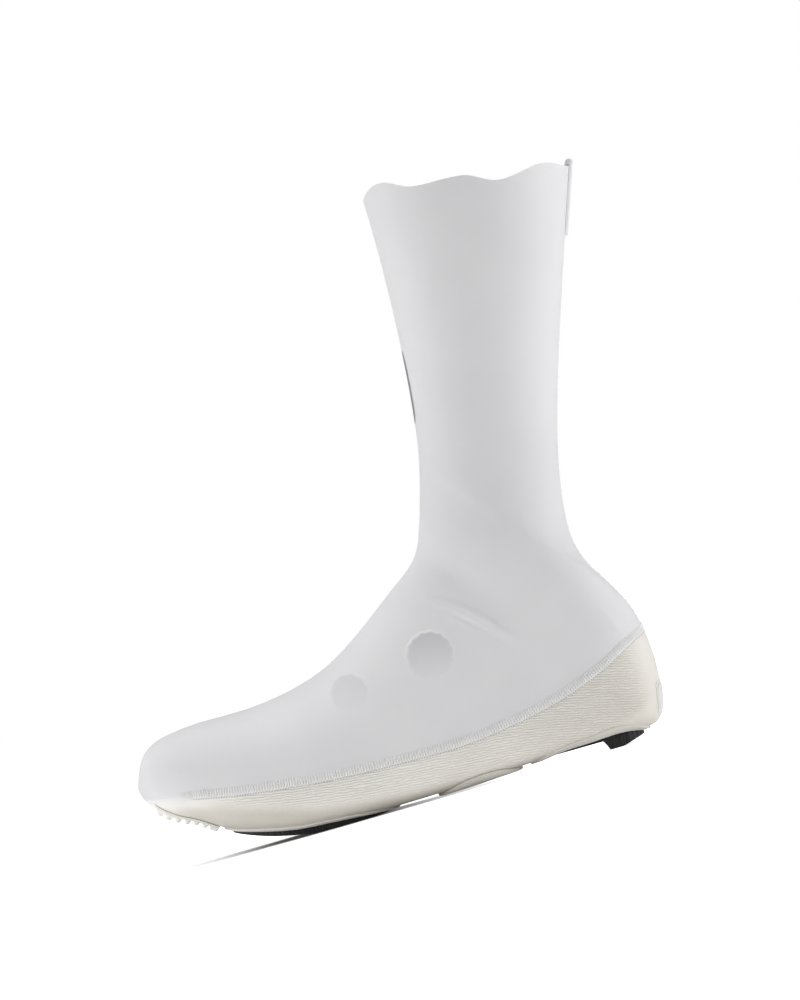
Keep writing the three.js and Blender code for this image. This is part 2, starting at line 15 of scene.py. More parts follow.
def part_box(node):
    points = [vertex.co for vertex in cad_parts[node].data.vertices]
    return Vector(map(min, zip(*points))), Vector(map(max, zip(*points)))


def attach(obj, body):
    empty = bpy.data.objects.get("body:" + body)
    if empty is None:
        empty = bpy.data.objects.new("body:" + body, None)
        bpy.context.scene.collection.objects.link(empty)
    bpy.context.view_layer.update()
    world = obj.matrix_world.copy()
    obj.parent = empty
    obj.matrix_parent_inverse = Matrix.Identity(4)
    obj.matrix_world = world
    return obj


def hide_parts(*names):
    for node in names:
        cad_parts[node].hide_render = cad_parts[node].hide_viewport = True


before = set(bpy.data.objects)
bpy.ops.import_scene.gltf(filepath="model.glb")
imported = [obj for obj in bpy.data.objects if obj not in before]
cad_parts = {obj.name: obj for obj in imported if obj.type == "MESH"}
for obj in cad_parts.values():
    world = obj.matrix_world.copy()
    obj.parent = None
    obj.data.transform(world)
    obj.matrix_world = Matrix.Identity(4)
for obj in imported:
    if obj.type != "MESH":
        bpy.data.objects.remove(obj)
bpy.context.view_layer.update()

bl_info = {
    "name": "Rain Overshoe Builder",
    "version": (1, 0, 0),
    "blender": (4, 5, 0),
    "location": "View3D > Sidebar > Overshoe",
    "description": "Builds the fine skin, seams, treads and finishes of a tall rain overshoe",
    "category": "Add Mesh",
}

MM = 0.001

# Cross-sections of the foot: under and over are the X of a section's lowest and highest point, as shares of
# the length; low and high their heights, as shares of the throat's height over the panel; half the half
# width, wide the height at which it is reached; base and side say how square the lower half is, crown the
# upper; swing moves the section to the inner side, and lean its top.
FOREFOOT = (
    (0, 0.355, 0, 0.355, 0, 0.5, 2.2, 2.2, 2.2, 0.092, 0),
    (0.006, 0.312, 0.006, 0.402, 0.112, 0.5, 2.2, 2.2, 2.2, 0.092, 0),
    (0.015, 0.276, 0.015, 0.451, 0.199, 0.47, 2.4, 2.2, 2.3, 0.09, 0),
    (0.03, 0.246, 0.031, 0.501, 0.272, 0.43, 2.7, 2.3, 2.4, 0.086, 0),
    (0.059, 0.205, 0.059, 0.537, 0.335, 0.4, 3.1, 2.4, 2.4, 0.08, 0),
    (0.097, 0.166, 0.097, 0.554, 0.384, 0.37, 3.6, 2.6, 2.4, 0.07, 0),
    (0.146, 0.099, 0.146, 0.563, 0.429, 0.34, 4.2, 2.8, 2.35, 0.055, 0.005),
    (0.201, 0.054, 0.201, 0.562, 0.466, 0.32, 5, 3, 2.3, 0.038, 0.01),
    (0.264, 0.02, 0.264, 0.568, 0.491, 0.31, 5.6, 3.1, 2.2, 0.02, 0.02),
    (0.33, 0.009, 0.33, 0.592, 0.5, 0.3, 6, 3.2, 2.1, 0.004, 0.03),
    (0.396, 0.002, 0.396, 0.638, 0.489, 0.29, 6, 3.2, 2, -0.01, 0.04),
    (0.462, 0, 0.458, 0.715, 0.458, 0.28, 6, 3.2, 1.9, -0.022, 0.05),
    (0.528, 0.002, 0.51, 0.797, 0.422, 0.28, 6, 3.1, 1.85, -0.03, 0.055),
    (0.601, 0.007, 0.552, 0.867, 0.393, 0.28, 5.8, 3, 1.85, -0.03, 0.05),
    (0.684, 0.015, 0.583, 0.917, 0.375, 0.29, 5.6, 3, 1.9, -0.024, 0.04),
)
REARFOOT = (
    (0.771, 0.024, 0.6035, 0.953, 0.507, 0.31, 5.4, 2.9, 1.95, -0.015, 0.03),
    (0.858, 0.021, 0.6177, 0.988, 0.507, 0.33, 5, 2.8, 2, -0.008, 0.025),
    (0.927, 0.028, 0.6278, 1.025, 0.496, 0.35, 4.2, 2.5, 2.05, 0, 0.02),
    (0.975, 0.046, 0.6351, 1.0625, 0.488, 0.36, 3, 2.3, 2.1, 0, 0.015),
    (0.993, 0.13, 0.641, 1.1016, 0.483, 0.37, 2.4, 2.2, 2.15, 0, 0.01),
    (1, 0.265, 0.6479, 1.145, 0.48, 0.38, 2.2, 2.15, 2.2, 0, 0.01),
    (0.997, 0.406, 0.6542, 1.194, 0.472, 0.4, 2.15, 2.15, 2.2, 0, 0.01),
    (0.983, 0.539, 0.6611, 1.246, 0.461, 0.43, 2.15, 2.15, 2.2, 0, 0.01),
    (0.956, 0.66, 0.6681, 1.305, 0.453, 0.46, 2.15, 2.15, 2.2, 0, 0.01),
    (0.928, 0.7615, 0.6747, 1.3675, 0.448, 0.48, 2.15, 2.15, 2.2, 0, 0.005),
)
# Sections of the shaft: back and front are heights over the throat, as shares of the shaft's rise, over the
# X of the front edge, and deep and full run from the ankle's depth and width to the collar's.
SHAFT = (
    (-0.088, 0.279, 0.6806, 0.04, 0),
    (-0.015, 0.327, 0.6858, 0, 0.02),
    (0.0805, 0.3875, 0.691, 0.015, 0.08),
    (0.206, 0.468, 0.6965, 0.097, 0.22),
    (0.357, 0.5687, 0.7014, 0.247, 0.39),
    (0.5385, 0.692, 0.7056, 0.466, 0.62),
    (0.732, 0.83, 0.708, 0.73, 0.84),
    (0.912, 1, 0.7066, 1, 1),
    (1.092, 1.173, 0.704, 1.27, 1.13),
)
SHAFT_SQUARE = 2.12
# The wavy collar edge: the angle from the front of the shin in degrees, and the dip as a share of the drop.
COLLAR_WAVE = ((0, 1), (37, 0), (58, 0.5), (88, 0.19), (108, 0.74), (140, 0), (163, 0.28), (180, 0.28))
# Height of the seam between upper and rand: place along the foot, and share of the throat's height.
SEAM_LINE = (
    (-0.15, 0.37), (0, 0.322), (0.082, 0.296), (0.184, 0.258), (0.297, 0.227), (0.4, 0.21), (0.49, 0.203),
    (0.56, 0.2), (0.625, 0.204), (0.727, 0.233), (0.811, 0.275), (0.897, 0.344), (0.965, 0.42), (1, 0.47),
    (1.15, 0.66),
)
# Direction of the rand's cords seen from the side: place along the foot, and slope in degrees.
CORD_SLOPE = ((-0.1, -12), (0.2, -11), (0.5, -4.5), (0.68, -5), (0.8, -13), (1.1, -17))
# The closure dials of the shoe inside: place along the foot, height over the throat's, radius and lift in
# mm, the waves round the rim, and how much of the darker tone they take: the dial showing through, with
# painted shade on its down-turned face.
DIAL_BUMPS = ((0.596, 0.58, 12.4, 3.2, 15, 1), (0.432, 0.521, 9.7, 1.5, 11, 0.6))
# Under the foot: front, back and share of the foot's width.
BALL_OPENING = (0.15, 0.454, 0.74)
HEEL_OPENING = (0.735, 0.945, 0.7)
STRAP_PLACE = (0.54, 0.707, 0.8)
BALL_FLAT_MIDDLE = 0.378
HEEL_FLAT_FRONT = 0.873
TOE_TREAD_PLACE = (0.0245, 0.13)
PATCH_BOTTOM = 0.088
# Folds: the line they follow, half width and height in millimetres, how far beside the ridge a
# hollow lies, on the side towards the shin, and how deep it is as a share of the ridge.
FOLDS = (
    (((0.618, 0.805), (0.665, 0.733), (0.705, 0.652), (0.742, 0.562), (0.765, 0.515)), 1.9, 1.7, 4.2, 0.6),
    (((0.640, 0.735), (0.672, 0.672), (0.700, 0.612)), 1.6, 0.5, -3.2, 0.8),
    (((0.655, 0.900), (0.690, 0.790), (0.740, 0.670), (0.775, 0.600)), 10.0, -1.5, 1.0, 0),
    (((0.902, 0.800), (0.921, 0.740), (0.940, 0.682)), 1.7, 0.75, 3.0, 0.5),
    (((0.925, 0.570), (0.940, 0.515), (0.955, 0.445)), 2.2, 0.4, 3.4, 0.6),
    (((0.560, 1.010), (0.600, 0.950), (0.630, 0.880)), 5.0, 0.5, 6.0, 0.7),
)
# The pull tab: drops below the collar, of the outside and of the inside, and the bead over the edge as drop
# and height, all in mm.
TAB_DROPS = [0.5, *range(3, 37, 2)]
TAB_INNER_DROPS = [0.5, *range(2, 15, 2)]
TAB_BEAD = (
    (-0.7, 1.4), (-1.5, 1.7), (-2.4, 1.75), (-3.2, 1.35), (-3.8, 0.65), (-4.0, -0.25), (-3.85, -1.1),
    (-3.4, -1.8), (-2.6, -2.25), (-1.7, -2.35), (-0.8, -2.4),
)
LOW_Z, HALF_WIDTH, SWING = 1, 4, 9  # places of these values in a section
RING_SAMPLES = 720
UNDER_SAMPLES = 600
SKIN_ROWS, SKIN_COLUMNS = 260, 180
COLLAR_BEND_START = 26.95  # the station from which the skin bends to the collar's wave
COLLAR_PITCH_ROWS = (6, 7)
SEAM_CLEAR = 1e-4  # stations between the rand's first row and the end of the seam
CORD_LENGTH, CORD_WAVER = 9 * MM, 0.8 * MM
HOLE_RADIUS = 0.46 * MM
# The two threads of an overlock stitch: slant and place along the seam as shares of the pitch, where it
# starts and ends as shares of half the seam's width, and its thickness.
STITCHES = ((0.1, -0.22, -0.84, 0.98, 1), (0.6, 0.25, -0.75, 1.02, 0.5))


def metres(label, millimetres, text):
    """A length that is set in the panel."""
    size = millimetres * MM
    return FloatProperty(name=label, description=text, default=size, min=0, unit="LENGTH", precision=4)


def tint(label, red, green, blue, text):
    """A colour given as it looks on a screen, kept as light."""
    light = [(c / 255 + 0.055) ** 2.4 / 1.055**2.4 if c > 10 else c / 3295 for c in (red, green, blue)]
    return FloatVectorProperty(name=label, description=text, default=light, subtype="COLOR", min=0, max=1)


class OvershoeSizes(bpy.types.PropertyGroup):
    """Sizes that every piece is built on."""

    length: metres("Length", 288, "Toe tip to back of heel")
    ball_width: metres("Ball width", 103, "Across the ball")
    heel_width: metres("Heel width", 75, "Across the heel")
    panel_clear: metres("Panel clearance", 2.1, "Floor to the lowest point of the bottom panel")
    throat_height: metres("Throat height", 130, "Floor to the bend in front of the ankle")
    shaft_rise: metres("Shaft rise", 198.7, "Throat to the highest point of the collar")
    ankle_width: metres("Ankle width", 66.6, "Across the ankle")
    ankle_depth: metres("Ankle depth", 65, "Front to back at the ankle")
    collar_width: metres("Collar width", 100.6, "Across the collar")
    collar_depth: metres("Collar depth", 113.5, "Front to back of the collar")
    collar_drop: metres("Collar drop", 8, "Deepest dip of the wavy collar edge")
    wall: metres("Fabric", 1.3, "Thickness of the upper and the rand")
    gap: metres("Gap", 0.3, "Between pieces that lie on each other")
    seam_width: metres("Seam width", 5.4, "Width of the overlock seam")
    seam_start: metres("Seam start", 22, "How far behind the toe tip the overlock seam begins")
    stitch_pitch: metres("Stitch pitch", 1.5, "From one overlock stitch to the next")
    thread: metres("Thread", 0.32, "Radius of the overlock thread")
    hem_width: metres("Hem width", 3.6, "Turned hem round each sole opening")
    hem_thick: metres("Hem thickness", 0.7, "Thickness of the hem")
    cord_pitch: metres("Cord pitch", 1.4, "From one cord of the rand's fabric to the next")
    tab_width: metres("Tab width", 16, "Width of the pull tab")


class OvershoeColours(bpy.types.PropertyGroup):
    """Colours of the finishes."""

    fabric: tint("Stretch fabric", 235, 234, 235, "The upper's outer face")
    # Fabric shade: painted shade between the threads of the upper, its lining and the pull tab; also the
    # darker colour of the heel patch's random tone.
    fabric_shade: tint("Stretch fabric shade", 222, 221, 223, "Between its threads")
    lining: tint("Lining", 206, 206, 208, "The upper's inner face")
    cord: tint("Cord", 251, 248, 242, "The rand's cords")
    # Cord shade: painted shade in the grooves between the rand's cords, on the rand low under the foot and in
    # the gaps of the hem cloth.
    cord_shade: tint("Cord shade", 212, 207, 197, "Between the rand's cords")
    thread: tint("Thread", 252, 252, 251, "Overlock thread")
    thread_shade: tint("Thread shade", 168, 162, 150, "Needle holes and gaps between threads")
    hem: tint("Hem", 236, 233, 226, "Turned hems and the waist strap")
    pale_rubber: tint("Pale rubber", 251, 251, 246, "Toe tread and heel patch")
    sole_rubber: tint("Sole rubber", 27, 26, 24, "Tread plates")
    tape: tint("Tape", 240, 240, 242, "Pull tab")
    print: tint("Reflective print", 168, 170, 174, "Strip on the shin")
    # Dial: also used for painted shade, on the dials' faces and in a band across the middle of the shaft.
    dial: tint("Dial", 207, 205, 209, "Where a dial inside shows through the fabric")
    floor: tint("Floor", 246, 246, 246, "The floor it stands on")


class OvershoeDetail(bpy.types.PropertyGroup):
    """How finely the skin is drawn."""

    columns: IntProperty(name="Columns", description="Points round the upper", default=151, min=31)
    foot_rows: IntProperty(name="Foot rows", description="Rows between toe and heel", default=140, min=31)
    shaft_rows: IntProperty(name="Shaft rows", description="Rows up the shaft", default=78, min=15)
    crease_strength: FloatProperty(name="Creases", description="Depth of the folds", default=1, min=0, max=2)


def mix(a, b, share):
    return a + (b - a) * share


def smooth(share):
    return share * share * (3 - 2 * share)


def hermite(a, b, c, d, share):
    """A smooth curve through four values, between the middle two."""
    p, q = (c - a) / 2, (d - b) / 2
    return b + share * (p + share * (3 * (c - b) - 2 * p - q + share * (2 * (b - c) + p + q)))


def running(points):
    """Each point's distance from the first one, along the line through them."""
    return np.concatenate([[0], np.cumsum(np.linalg.norm(np.diff(points, axis=0), axis=1))])


def sample(points, run, at):
    """Points of a line at distances along it."""
    return np.stack([np.interp(at, run, column) for column in points.T], axis=-1)


def powered(value, power):
    """A power that keeps the value's sign."""
    return np.sign(value) * np.abs(value) ** power


def clipped(value):
    """A value kept between 0 and 1."""
    return np.clip(value, 0, 1)


class Last:
    """The overshoe's outer skin, measured from the toe tip."""

    def __init__(self, sizes):
        self.sizes = sizes
        foot = np.array(FOREFOOT + REARFOOT)
        foot[:, [0, 2]] *= sizes.length
        foot[:, [1, 3]] *= sizes.throat_height - sizes.panel_clear
        foot[:, [1, 3]] += sizes.panel_clear
        foot[:, HALF_WIDTH] *= [sizes.ball_width] * len(FOREFOOT) + [sizes.heel_width] * len(REARFOOT)
        foot[:, SWING:] *= sizes.ball_width
        shaft = [
            (
                over * sizes.length + mix(sizes.ankle_depth, sizes.collar_depth, deep),
                sizes.throat_height + back * sizes.shaft_rise,
                over * sizes.length, sizes.throat_height + front * sizes.shaft_rise,
                mix(sizes.ankle_width, sizes.collar_width, full) / 2, 0.5, *[SHAFT_SQUARE] * 3, 0, 0,
            )
            for back, front, over, deep, full in SHAFT
        ]
        self.rows = np.vstack([foot, shaft])
        self.before = self.rows[1].copy()
        self.before[:4] = self.rows[1][[2, 3, 0, 1]]
        self.before[4] *= -1
        self.collar = len(self.rows) - 2
        self.heel_end = len(FOREFOOT) + 5
        self.rings = {}
        first, last = COLLAR_PITCH_ROWS
        self.collar_pitch = sizes.shaft_rise * (SHAFT[last][1] - SHAFT[first][1])
        self.seam_first = self.meets_seam(0, 3)
        self.seam_last = self.meets_seam(self.collar - 6, self.heel_end - 2)
        stations = np.linspace(0, self.heel_end, UNDER_SAMPLES)
        self.under_rows = np.array([self.section(station) for station in stations])

    def section(self, station):
        last = len(self.rows) - 1
        i = min(last - 1, max(0, int(station)))
        a = self.before if i == 0 else self.rows[i - 1]
        b, c = self.rows[i], self.rows[i + 1]
        d = 2 * c - b if i + 2 > last else self.rows[i + 2]
        return hermite(a, b, c, d, station - i)

    def seam_height(self, x):
        at = x / self.sizes.length
        last = len(SEAM_LINE) - 1
        after = next((i for i, row in enumerate(SEAM_LINE) if row[0] > at), last)
        k = min(last - 1, max(0, after - 1))
        near = [SEAM_LINE[min(last, max(0, i))] for i in (k - 1, k, k + 1, k + 2)]
        share = (at - near[1][0]) / (near[2][0] - near[1][0])
        return self.sizes.throat_height * hermite(*(row[1] for row in near), share)

    def meets_seam(self, above, below):
        """The station between two at which a section's lowest point lies on the seam."""
        while abs(above - below) > 1e-5:
            middle = (above + below) / 2
            row = self.section(middle)
            if row[1] > self.seam_height(row[0]):
                above = middle
            else:
                below = middle
        return below

    def ring(self, station):
        """A section from its lowest point up the outer side, over and down, with shares of its length."""
        key = round(station, 5)
        if key not in self.rings:
            row = self.section(station)
            back_x, back_z, front_x, front_z, half, wide, base, side, crown, swing, lean = row
            angle = np.linspace(0, 2 * math.pi, RING_SAMPLES + 1)
            c, s = np.cos(angle), np.sin(angle)
            lower = c > 0
            reach = np.abs(c) ** (2 / np.where(lower, side, crown))
            share = np.where(lower, wide * (1 - reach), wide + (1 - wide) * reach)
            y = swing + lean * share - half * powered(s, 2 / np.where(lower, base, crown))
            points = np.stack([mix(back_x, front_x, share), y, mix(back_z, front_z, share)], axis=1)
            run = running(points)
            self.rings[key] = points, run / max(run[-1], 1e-9), run[-1]
        return self.rings[key]

    def at(self, station, shares):
        """Points of one section at some shares of its length."""
        points, run, _ = self.ring(station)
        return sample(points, run, shares)

    def crossings(self, station):
        """Where a section's outer and inner side cross the seam, as shares of its length."""
        if not self.seam_first < station < self.seam_last:
            return 0.0, 1.0
        points, run, _ = self.ring(station)
        over = points[:, 2] - np.array([self.seam_height(x) for x in points[:, 0]])
        middle = RING_SAMPLES // 2
        i = int(np.argmax(over[:middle] > 0)) or 1
        j = RING_SAMPLES - (int(np.argmax(over[:middle:-1] > 0)) or 1)
        outer = mix(run[i - 1], run[i], -over[i - 1] / (over[i] - over[i - 1]))
        inner = mix(run[j + 1], run[j], -over[j + 1] / (over[j] - over[j + 1]))
        return float(outer), float(inner)

    def dip(self, share):
        """How far the collar's edge dips at a share of its length."""
        turn = abs(180 - share * 360)
        k = max(1, next((i for i, row in enumerate(COLLAR_WAVE) if row[0] >= turn), len(COLLAR_WAVE) - 1))
        (start, low), (end, high) = COLLAR_WAVE[k - 1], COLLAR_WAVE[k]
        return self.sizes.collar_drop * mix(low, high, smooth((turn - start) / (end - start)))

    def row(self, station, shares):
        """Points of one row of the skin, bent to the collar's wave near the top."""
        bend = clipped((station - COLLAR_BEND_START) / (self.collar - COLLAR_BEND_START))
        if bend == 0:
            return self.at(station, shares)
        lowered = [station - bend * self.dip(share) / self.collar_pitch for share in shares]
        return np.array([self.at(s, share) for s, share in zip(lowered, shares)])

    def under(self, x, value):
        """One value of the section whose lowest point lies at x under the foot."""
        return float(np.interp(x, self.under_rows[:, 0], self.under_rows[:, value]))

    def panel(self, x):
        return self.under(x, LOW_Z)


@cache
def last():
    return Last(bpy.context.scene.overshoe_sizes)


def shift():
    """From the toe tip to the part's own origin."""
    tab_low, tab_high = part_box("collar_tab")
    return Vector((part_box("upper")[0].x, (tab_low.y + tab_high.y) / 2, 0))


@cache
def whole_skin():
    """A tree of the whole outer skin, to lay pieces on."""
    shape = last()
    shares = np.linspace(0, 1, SKIN_COLUMNS + 1)[:-1]
    rows = np.array([shape.row(station, shares) for station in np.linspace(0, shape.collar, SKIN_ROWS)])
    rows += skin_normals(rows) * relief(rows)[..., None]
    faces = []
    for start in range(0, (SKIN_ROWS - 1) * SKIN_COLUMNS, SKIN_COLUMNS):
        for j in range(SKIN_COLUMNS):
            here, beside = start + j, start + (j + 1) % SKIN_COLUMNS
            faces.append((here, here + SKIN_COLUMNS, beside + SKIN_COLUMNS, beside))
    return BVHTree.FromPolygons(rows.reshape(-1, 3).tolist(), faces)


def skin_normals(rows):
    """Outward normals of a grid of points: rows along the boot, each from the bottom up the outer side."""
    around = np.roll(rows, -1, axis=1) - np.roll(rows, 1, axis=1)
    normals = np.cross(np.gradient(rows, axis=0), around)
    length = np.linalg.norm(normals, axis=-1, keepdims=True)
    return normals / np.where(length > 1e-12, length, 1)


def outward(place):
    """The skin's point nearest to a place, and its direction away from the foot's or shaft's core."""
    near, normal, _, _ = whole_skin().find_nearest(place)
    core = Vector((min(max(near.x, 0.03), 0.25), 0, 0.05))
    if near.z > 0.12 and near.x > 0.17:
        core = Vector((mix(0.225, 0.255, clipped((near.z - 0.13) / 0.2)), 0, near.z))
    return near, normal if normal.dot(near - core) > 0 else -normal


def laid(place, height):
    """A point at a height over the skin, near a place."""
    near, normal = outward(place)
    return near + normal * height


def laid_under(x, y, height):
    """A point at a height below the underside at x, y."""
    hit = whole_skin().ray_cast(Vector((x, y, -0.1)), Vector((0, 0, 1)))
    if hit[0] is None:
        return laid(Vector((x, y, last().panel(x))), height)
    normal = hit[1] if hit[1].z < 0 else -hit[1]
    return hit[0] + normal * height


def ray_laid(start, direction, height):
    """A point at a height over the skin where a ray meets it."""
    return laid(whole_skin().ray_cast(Vector(start), Vector(direction))[0], height)


def fold_distance(x, z, line):
    """Distance to a line seen from the side, which side of it, and how far along it."""
    sizes = last().sizes
    points = np.array(line) * (sizes.length, sizes.throat_height)
    best, signed, along = np.full(x.shape, 1e9), np.zeros(x.shape), np.zeros(x.shape)
    steps = np.linalg.norm(np.diff(points, axis=0), axis=1)
    done = 0
    for (ax, az), (bx, bz), step in zip(points[:-1], points[1:], steps):
        ux, uz = (bx - ax) / step, (bz - az) / step
        run = np.clip((x - ax) * ux + (z - az) * uz, 0, step)
        off_x, off_z = x - ax - run * ux, z - az - run * uz
        distance = np.hypot(off_x, off_z)
        closer = distance < best
        best = np.where(closer, distance, best)
        signed = np.where(closer, np.sign(off_x * -uz + off_z * ux) * distance, signed)
        along = np.where(closer, (done + run) / steps.sum(), along)
        done += step
    return best, signed, along


def fold_height(x, z, line, width, height, apart, depth):
    """A soft ridge along a line with a shallower hollow beside it, fading to both ends."""
    _, signed, along = fold_distance(x, z, line)
    fade = np.sin(clipped(along * 0.92 + 0.04) * math.pi)
    ridge = np.exp(-((signed / (width * MM)) ** 2))
    hollow = np.exp(-(((signed - apart * MM) / (1.5 * width * MM)) ** 2))
    return height * MM * fade * (ridge - depth * hollow)


def relief(points):
    """How far the folds and the dials inside lift the fabric, at points of the skin."""
    x, y, z = points[..., 0], points[..., 1], points[..., 2]
    lift = sum(fold_height(x, z, *fold) for fold in FOLDS)
    lift *= bpy.context.scene.overshoe_detail.crease_strength
    for dial in DIAL_BUMPS:
        lift += 0.6 * dial[3] * MM * dial_rim(x, z, dial, 3)
    return lift * clipped(-y / (8 * MM))


def dial_rim(x, z, dial, edge):
    """1 on a dial's face, falling over an edge in millimetres, and fading to its lower side."""
    at, up, radius, _, knobs, _ = dial
    dx, dz = x - at * last().sizes.length, z - up * last().sizes.throat_height
    rim = radius * MM * (1 + 0.022 * np.cos(knobs * np.arctan2(dz, dx)))
    inside = smooth(clipped((rim - np.hypot(dx, dz)) / (edge * MM) + 0.5))
    return inside * clipped(0.5 + dz / (2 * radius * MM))


def mapped_grid(bm, points, uvs=None):
    """A sheet of faces whose corners lie at a grid of points. Returns its corners with their places."""
    points = np.array(points)
    rows, columns = points.shape[:2]
    layer = bm.loops.layers.uv.get("UVMap") or bm.loops.layers.uv.new("UVMap")
    made = bmesh.ops.create_grid(bm, x_segments=rows - 1, y_segments=columns - 1, size=0.5)["verts"]
    table = {}
    for vert in made:
        place = round((vert.co.x + 0.5) * (rows - 1)), round((vert.co.y + 0.5) * (columns - 1))
        table[vert] = place
        vert.co = points[place]
    if uvs is not None:
        uvs = np.array(uvs)
        for vert, place in table.items():
            for loop in vert.link_loops:
                loop[layer].uv = uvs[place]
    return table


def turn_outward(bm):
    """Turns a sheet that lies on the skin so that its faces look away from the foot."""
    bmesh.ops.recalc_face_normals(bm, faces=bm.faces)
    bm.normal_update()
    total = 0
    for face in list(bm.faces)[:: max(1, len(bm.faces) // 400)]:
        middle = face.calc_center_median()
        total += face.normal.dot(outward(middle)[1]) * face.calc_area()
    if total < 0:
        bmesh.ops.reverse_faces(bm, faces=bm.faces)


def weld(bm):
    bmesh.ops.remove_doubles(bm, verts=bm.verts, dist=0.002 * MM)
    bmesh.ops.dissolve_degenerate(bm, edges=bm.edges, dist=1e-7)


def close_up(bm):
    """Merges a closed shape's doubles and turns its faces outwards."""
    weld(bm)
    bmesh.ops.recalc_face_normals(bm, faces=bm.faces)


def thicken(bm, wall, lining):
    """Gives a sheet a second face at a wall's depth, with another material, and rims between the two."""
    bm.normal_update()
    depths = {vert: vert.normal * wall for vert in bm.verts}
    faces = list(bm.faces)
    rims = [edge for edge in bm.edges if edge.is_boundary]
    made = bmesh.ops.duplicate(bm, geom=faces + list(bm.edges) + list(depths))
    for vert, twin in made["vert_map"].items():
        if vert in depths:
            twin.co -= depths[vert]
    inner = [item for item in made["geom"] if isinstance(item, bmesh.types.BMFace)]
    bmesh.ops.reverse_faces(bm, faces=inner)
    for face in inner:
        face.material_index = lining
    for loop in rim_loops(rims):
        pairs = loop + [made["edge_map"][edge] for edge in loop]
        bmesh.ops.bridge_loops(bm, edges=pairs)


def rim_loops(edges):
    """Sorts open edges into the loops they form."""
    waiting, loops = set(edges), []
    while waiting:
        loop = [waiting.pop()]
        for edge in loop:
            for vert in edge.verts:
                near = [other for other in vert.link_edges if other in waiting]
                waiting.difference_update(near)
                loop.extend(near)
        loops.append(loop)
    return loops


def finish_piece(bm, name, materials, replaces=(), wall=None, angle=60):
    """Turns a mesh drawn from the toe tip into a piece of the part."""
    if wall is not None:
        thicken(bm, wall, len(materials) - 1)
    bmesh.ops.translate(bm, verts=bm.verts, vec=shift())
    mesh = bpy.data.meshes.new(name)
    bm.to_mesh(mesh)
    bm.free()
    for material in materials:
        mesh.materials.append(material)
    mesh.shade_smooth()
    mesh.set_sharp_from_angle(angle=math.radians(angle))
    piece = bpy.data.objects.new(name, mesh)
    bpy.context.scene.collection.objects.link(piece)
    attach(piece, "root")
    if replaces:
        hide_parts(*replaces)
    return piece


def make_piece(name, material, rows, uvs=None, replaces=(), wall=None, angle=60):
    """A piece from a grid of points: a closed shape, or a sheet that gets a wall."""
    bm = bmesh.new()
    mapped_grid(bm, rows, uvs)
    close_up(bm)
    if wall is not None:
        turn_outward(bm)
    finish_piece(bm, name, [material], replaces, wall, angle)


# Materials


def feed(tree, node, feeds):
    """Links a node's inputs to sockets, or sets them to values."""
    for key, value in feeds.items():
        if isinstance(value, Value):
            value = value.socket
        if isinstance(value, bpy.types.NodeSocket):
            tree.links.new(node.inputs[key], value)
        else:
            node.inputs[key].default_value = value


def add(tree, kind, feeds=None, **settings):
    """A shader node with its settings and feeds."""
    node = tree.nodes.new("ShaderNode" + kind)
    for key, value in settings.items():
        setattr(node, key, value)
    feed(tree, node, feeds or {})
    return node


class Value:
    """A number in a shader, so that Math nodes read as sums and products."""

    def __init__(self, tree, socket):
        self.tree, self.socket = tree, socket

    def maths(self, operation, other=None):
        feeds = {0: self} if other is None else {0: self, 1: other}
        return Value(self.tree, add(self.tree, "Math", feeds, operation=operation).outputs[0])

    def __add__(self, other):
        return self.maths("ADD", other)

    def __sub__(self, other):
        return self.maths("SUBTRACT", other)

    def __mul__(self, other):
        return self.maths("MULTIPLY", other)

    def __truediv__(self, other):
        return self.maths("DIVIDE", other)

    def fraction(self):
        return self.maths("FRACT")

    def sine(self):
        """The sine of this many half turns."""
        return (self * math.pi).maths("SINE")

    def between(self, low, high, to_low=0, to_high=1):
        """Spreads the range from low to high over another one."""
        feeds = {"Value": self, "From Min": low, "From Max": high, "To Min": to_low, "To Max": to_high}
        return Value(self.tree, add(self.tree, "MapRange", feeds).outputs["Result"])


def parts(tree, vector):
    """A vector's three numbers."""
    return [Value(tree, socket) for socket in add(tree, "SeparateXYZ", {0: vector}).outputs]


def cloud(tree, vector, scale, detail):
    feeds = {"Vector": vector, "Scale": scale, "Detail": detail}
    return Value(tree, add(tree, "TexNoise", feeds).outputs["Fac"])


def attribute(tree, name):
    return Value(tree, add(tree, "Attribute", attribute_name=name).outputs["Fac"])


def own_map(tree):
    return add(tree, "UVMap", uv_map="UVMap").outputs["UV"]


def use_group(tree, build, outputs, **inputs):
    """The outputs of a shader group, which is made by a function when it is first used."""
    name = build.__name__.title()
    if name not in bpy.data.node_groups:
        group = bpy.data.node_groups.new(name, "ShaderNodeTree")
        for label in inputs:
            kind = "NodeSocketVector" if label == "Vector" else "NodeSocketFloat"
            group.interface.new_socket(name=label, in_out="INPUT", socket_type=kind)
        for label in outputs:
            group.interface.new_socket(name=label, in_out="OUTPUT", socket_type="NodeSocketFloat")
        entry, leave = group.nodes.new("NodeGroupInput"), group.nodes.new("NodeGroupOutput")
        made = build(group, *(Value(group, entry.outputs[label]) for label in inputs))
        feed(group, leave, dict(zip(outputs, made)))
    node = add(tree, "Group", inputs, node_tree=bpy.data.node_groups[name])
    return [Value(tree, node.outputs[label]) for label in outputs]


def weave(tree, place, threads):
    """Fine crossing threads: a height, and a mask of the gaps between them."""
    scaled = add(tree, "VectorMath", {0: place, "Scale": threads}, operation="SCALE")
    x, y, _ = parts(tree, scaled.outputs[0])
    across, along = (run.sine().maths("ABSOLUTE").maths("POWER", 0.5) for run in (x, y))
    height = across * along
    return height, height * -1 + 1


def drift(tree, place, patches, grain):
    """Slow uneven tone, as of handled cloth or worn rubber, and a fine grain."""
    return cloud(tree, place, patches, 2), cloud(tree, place, grain, 1)


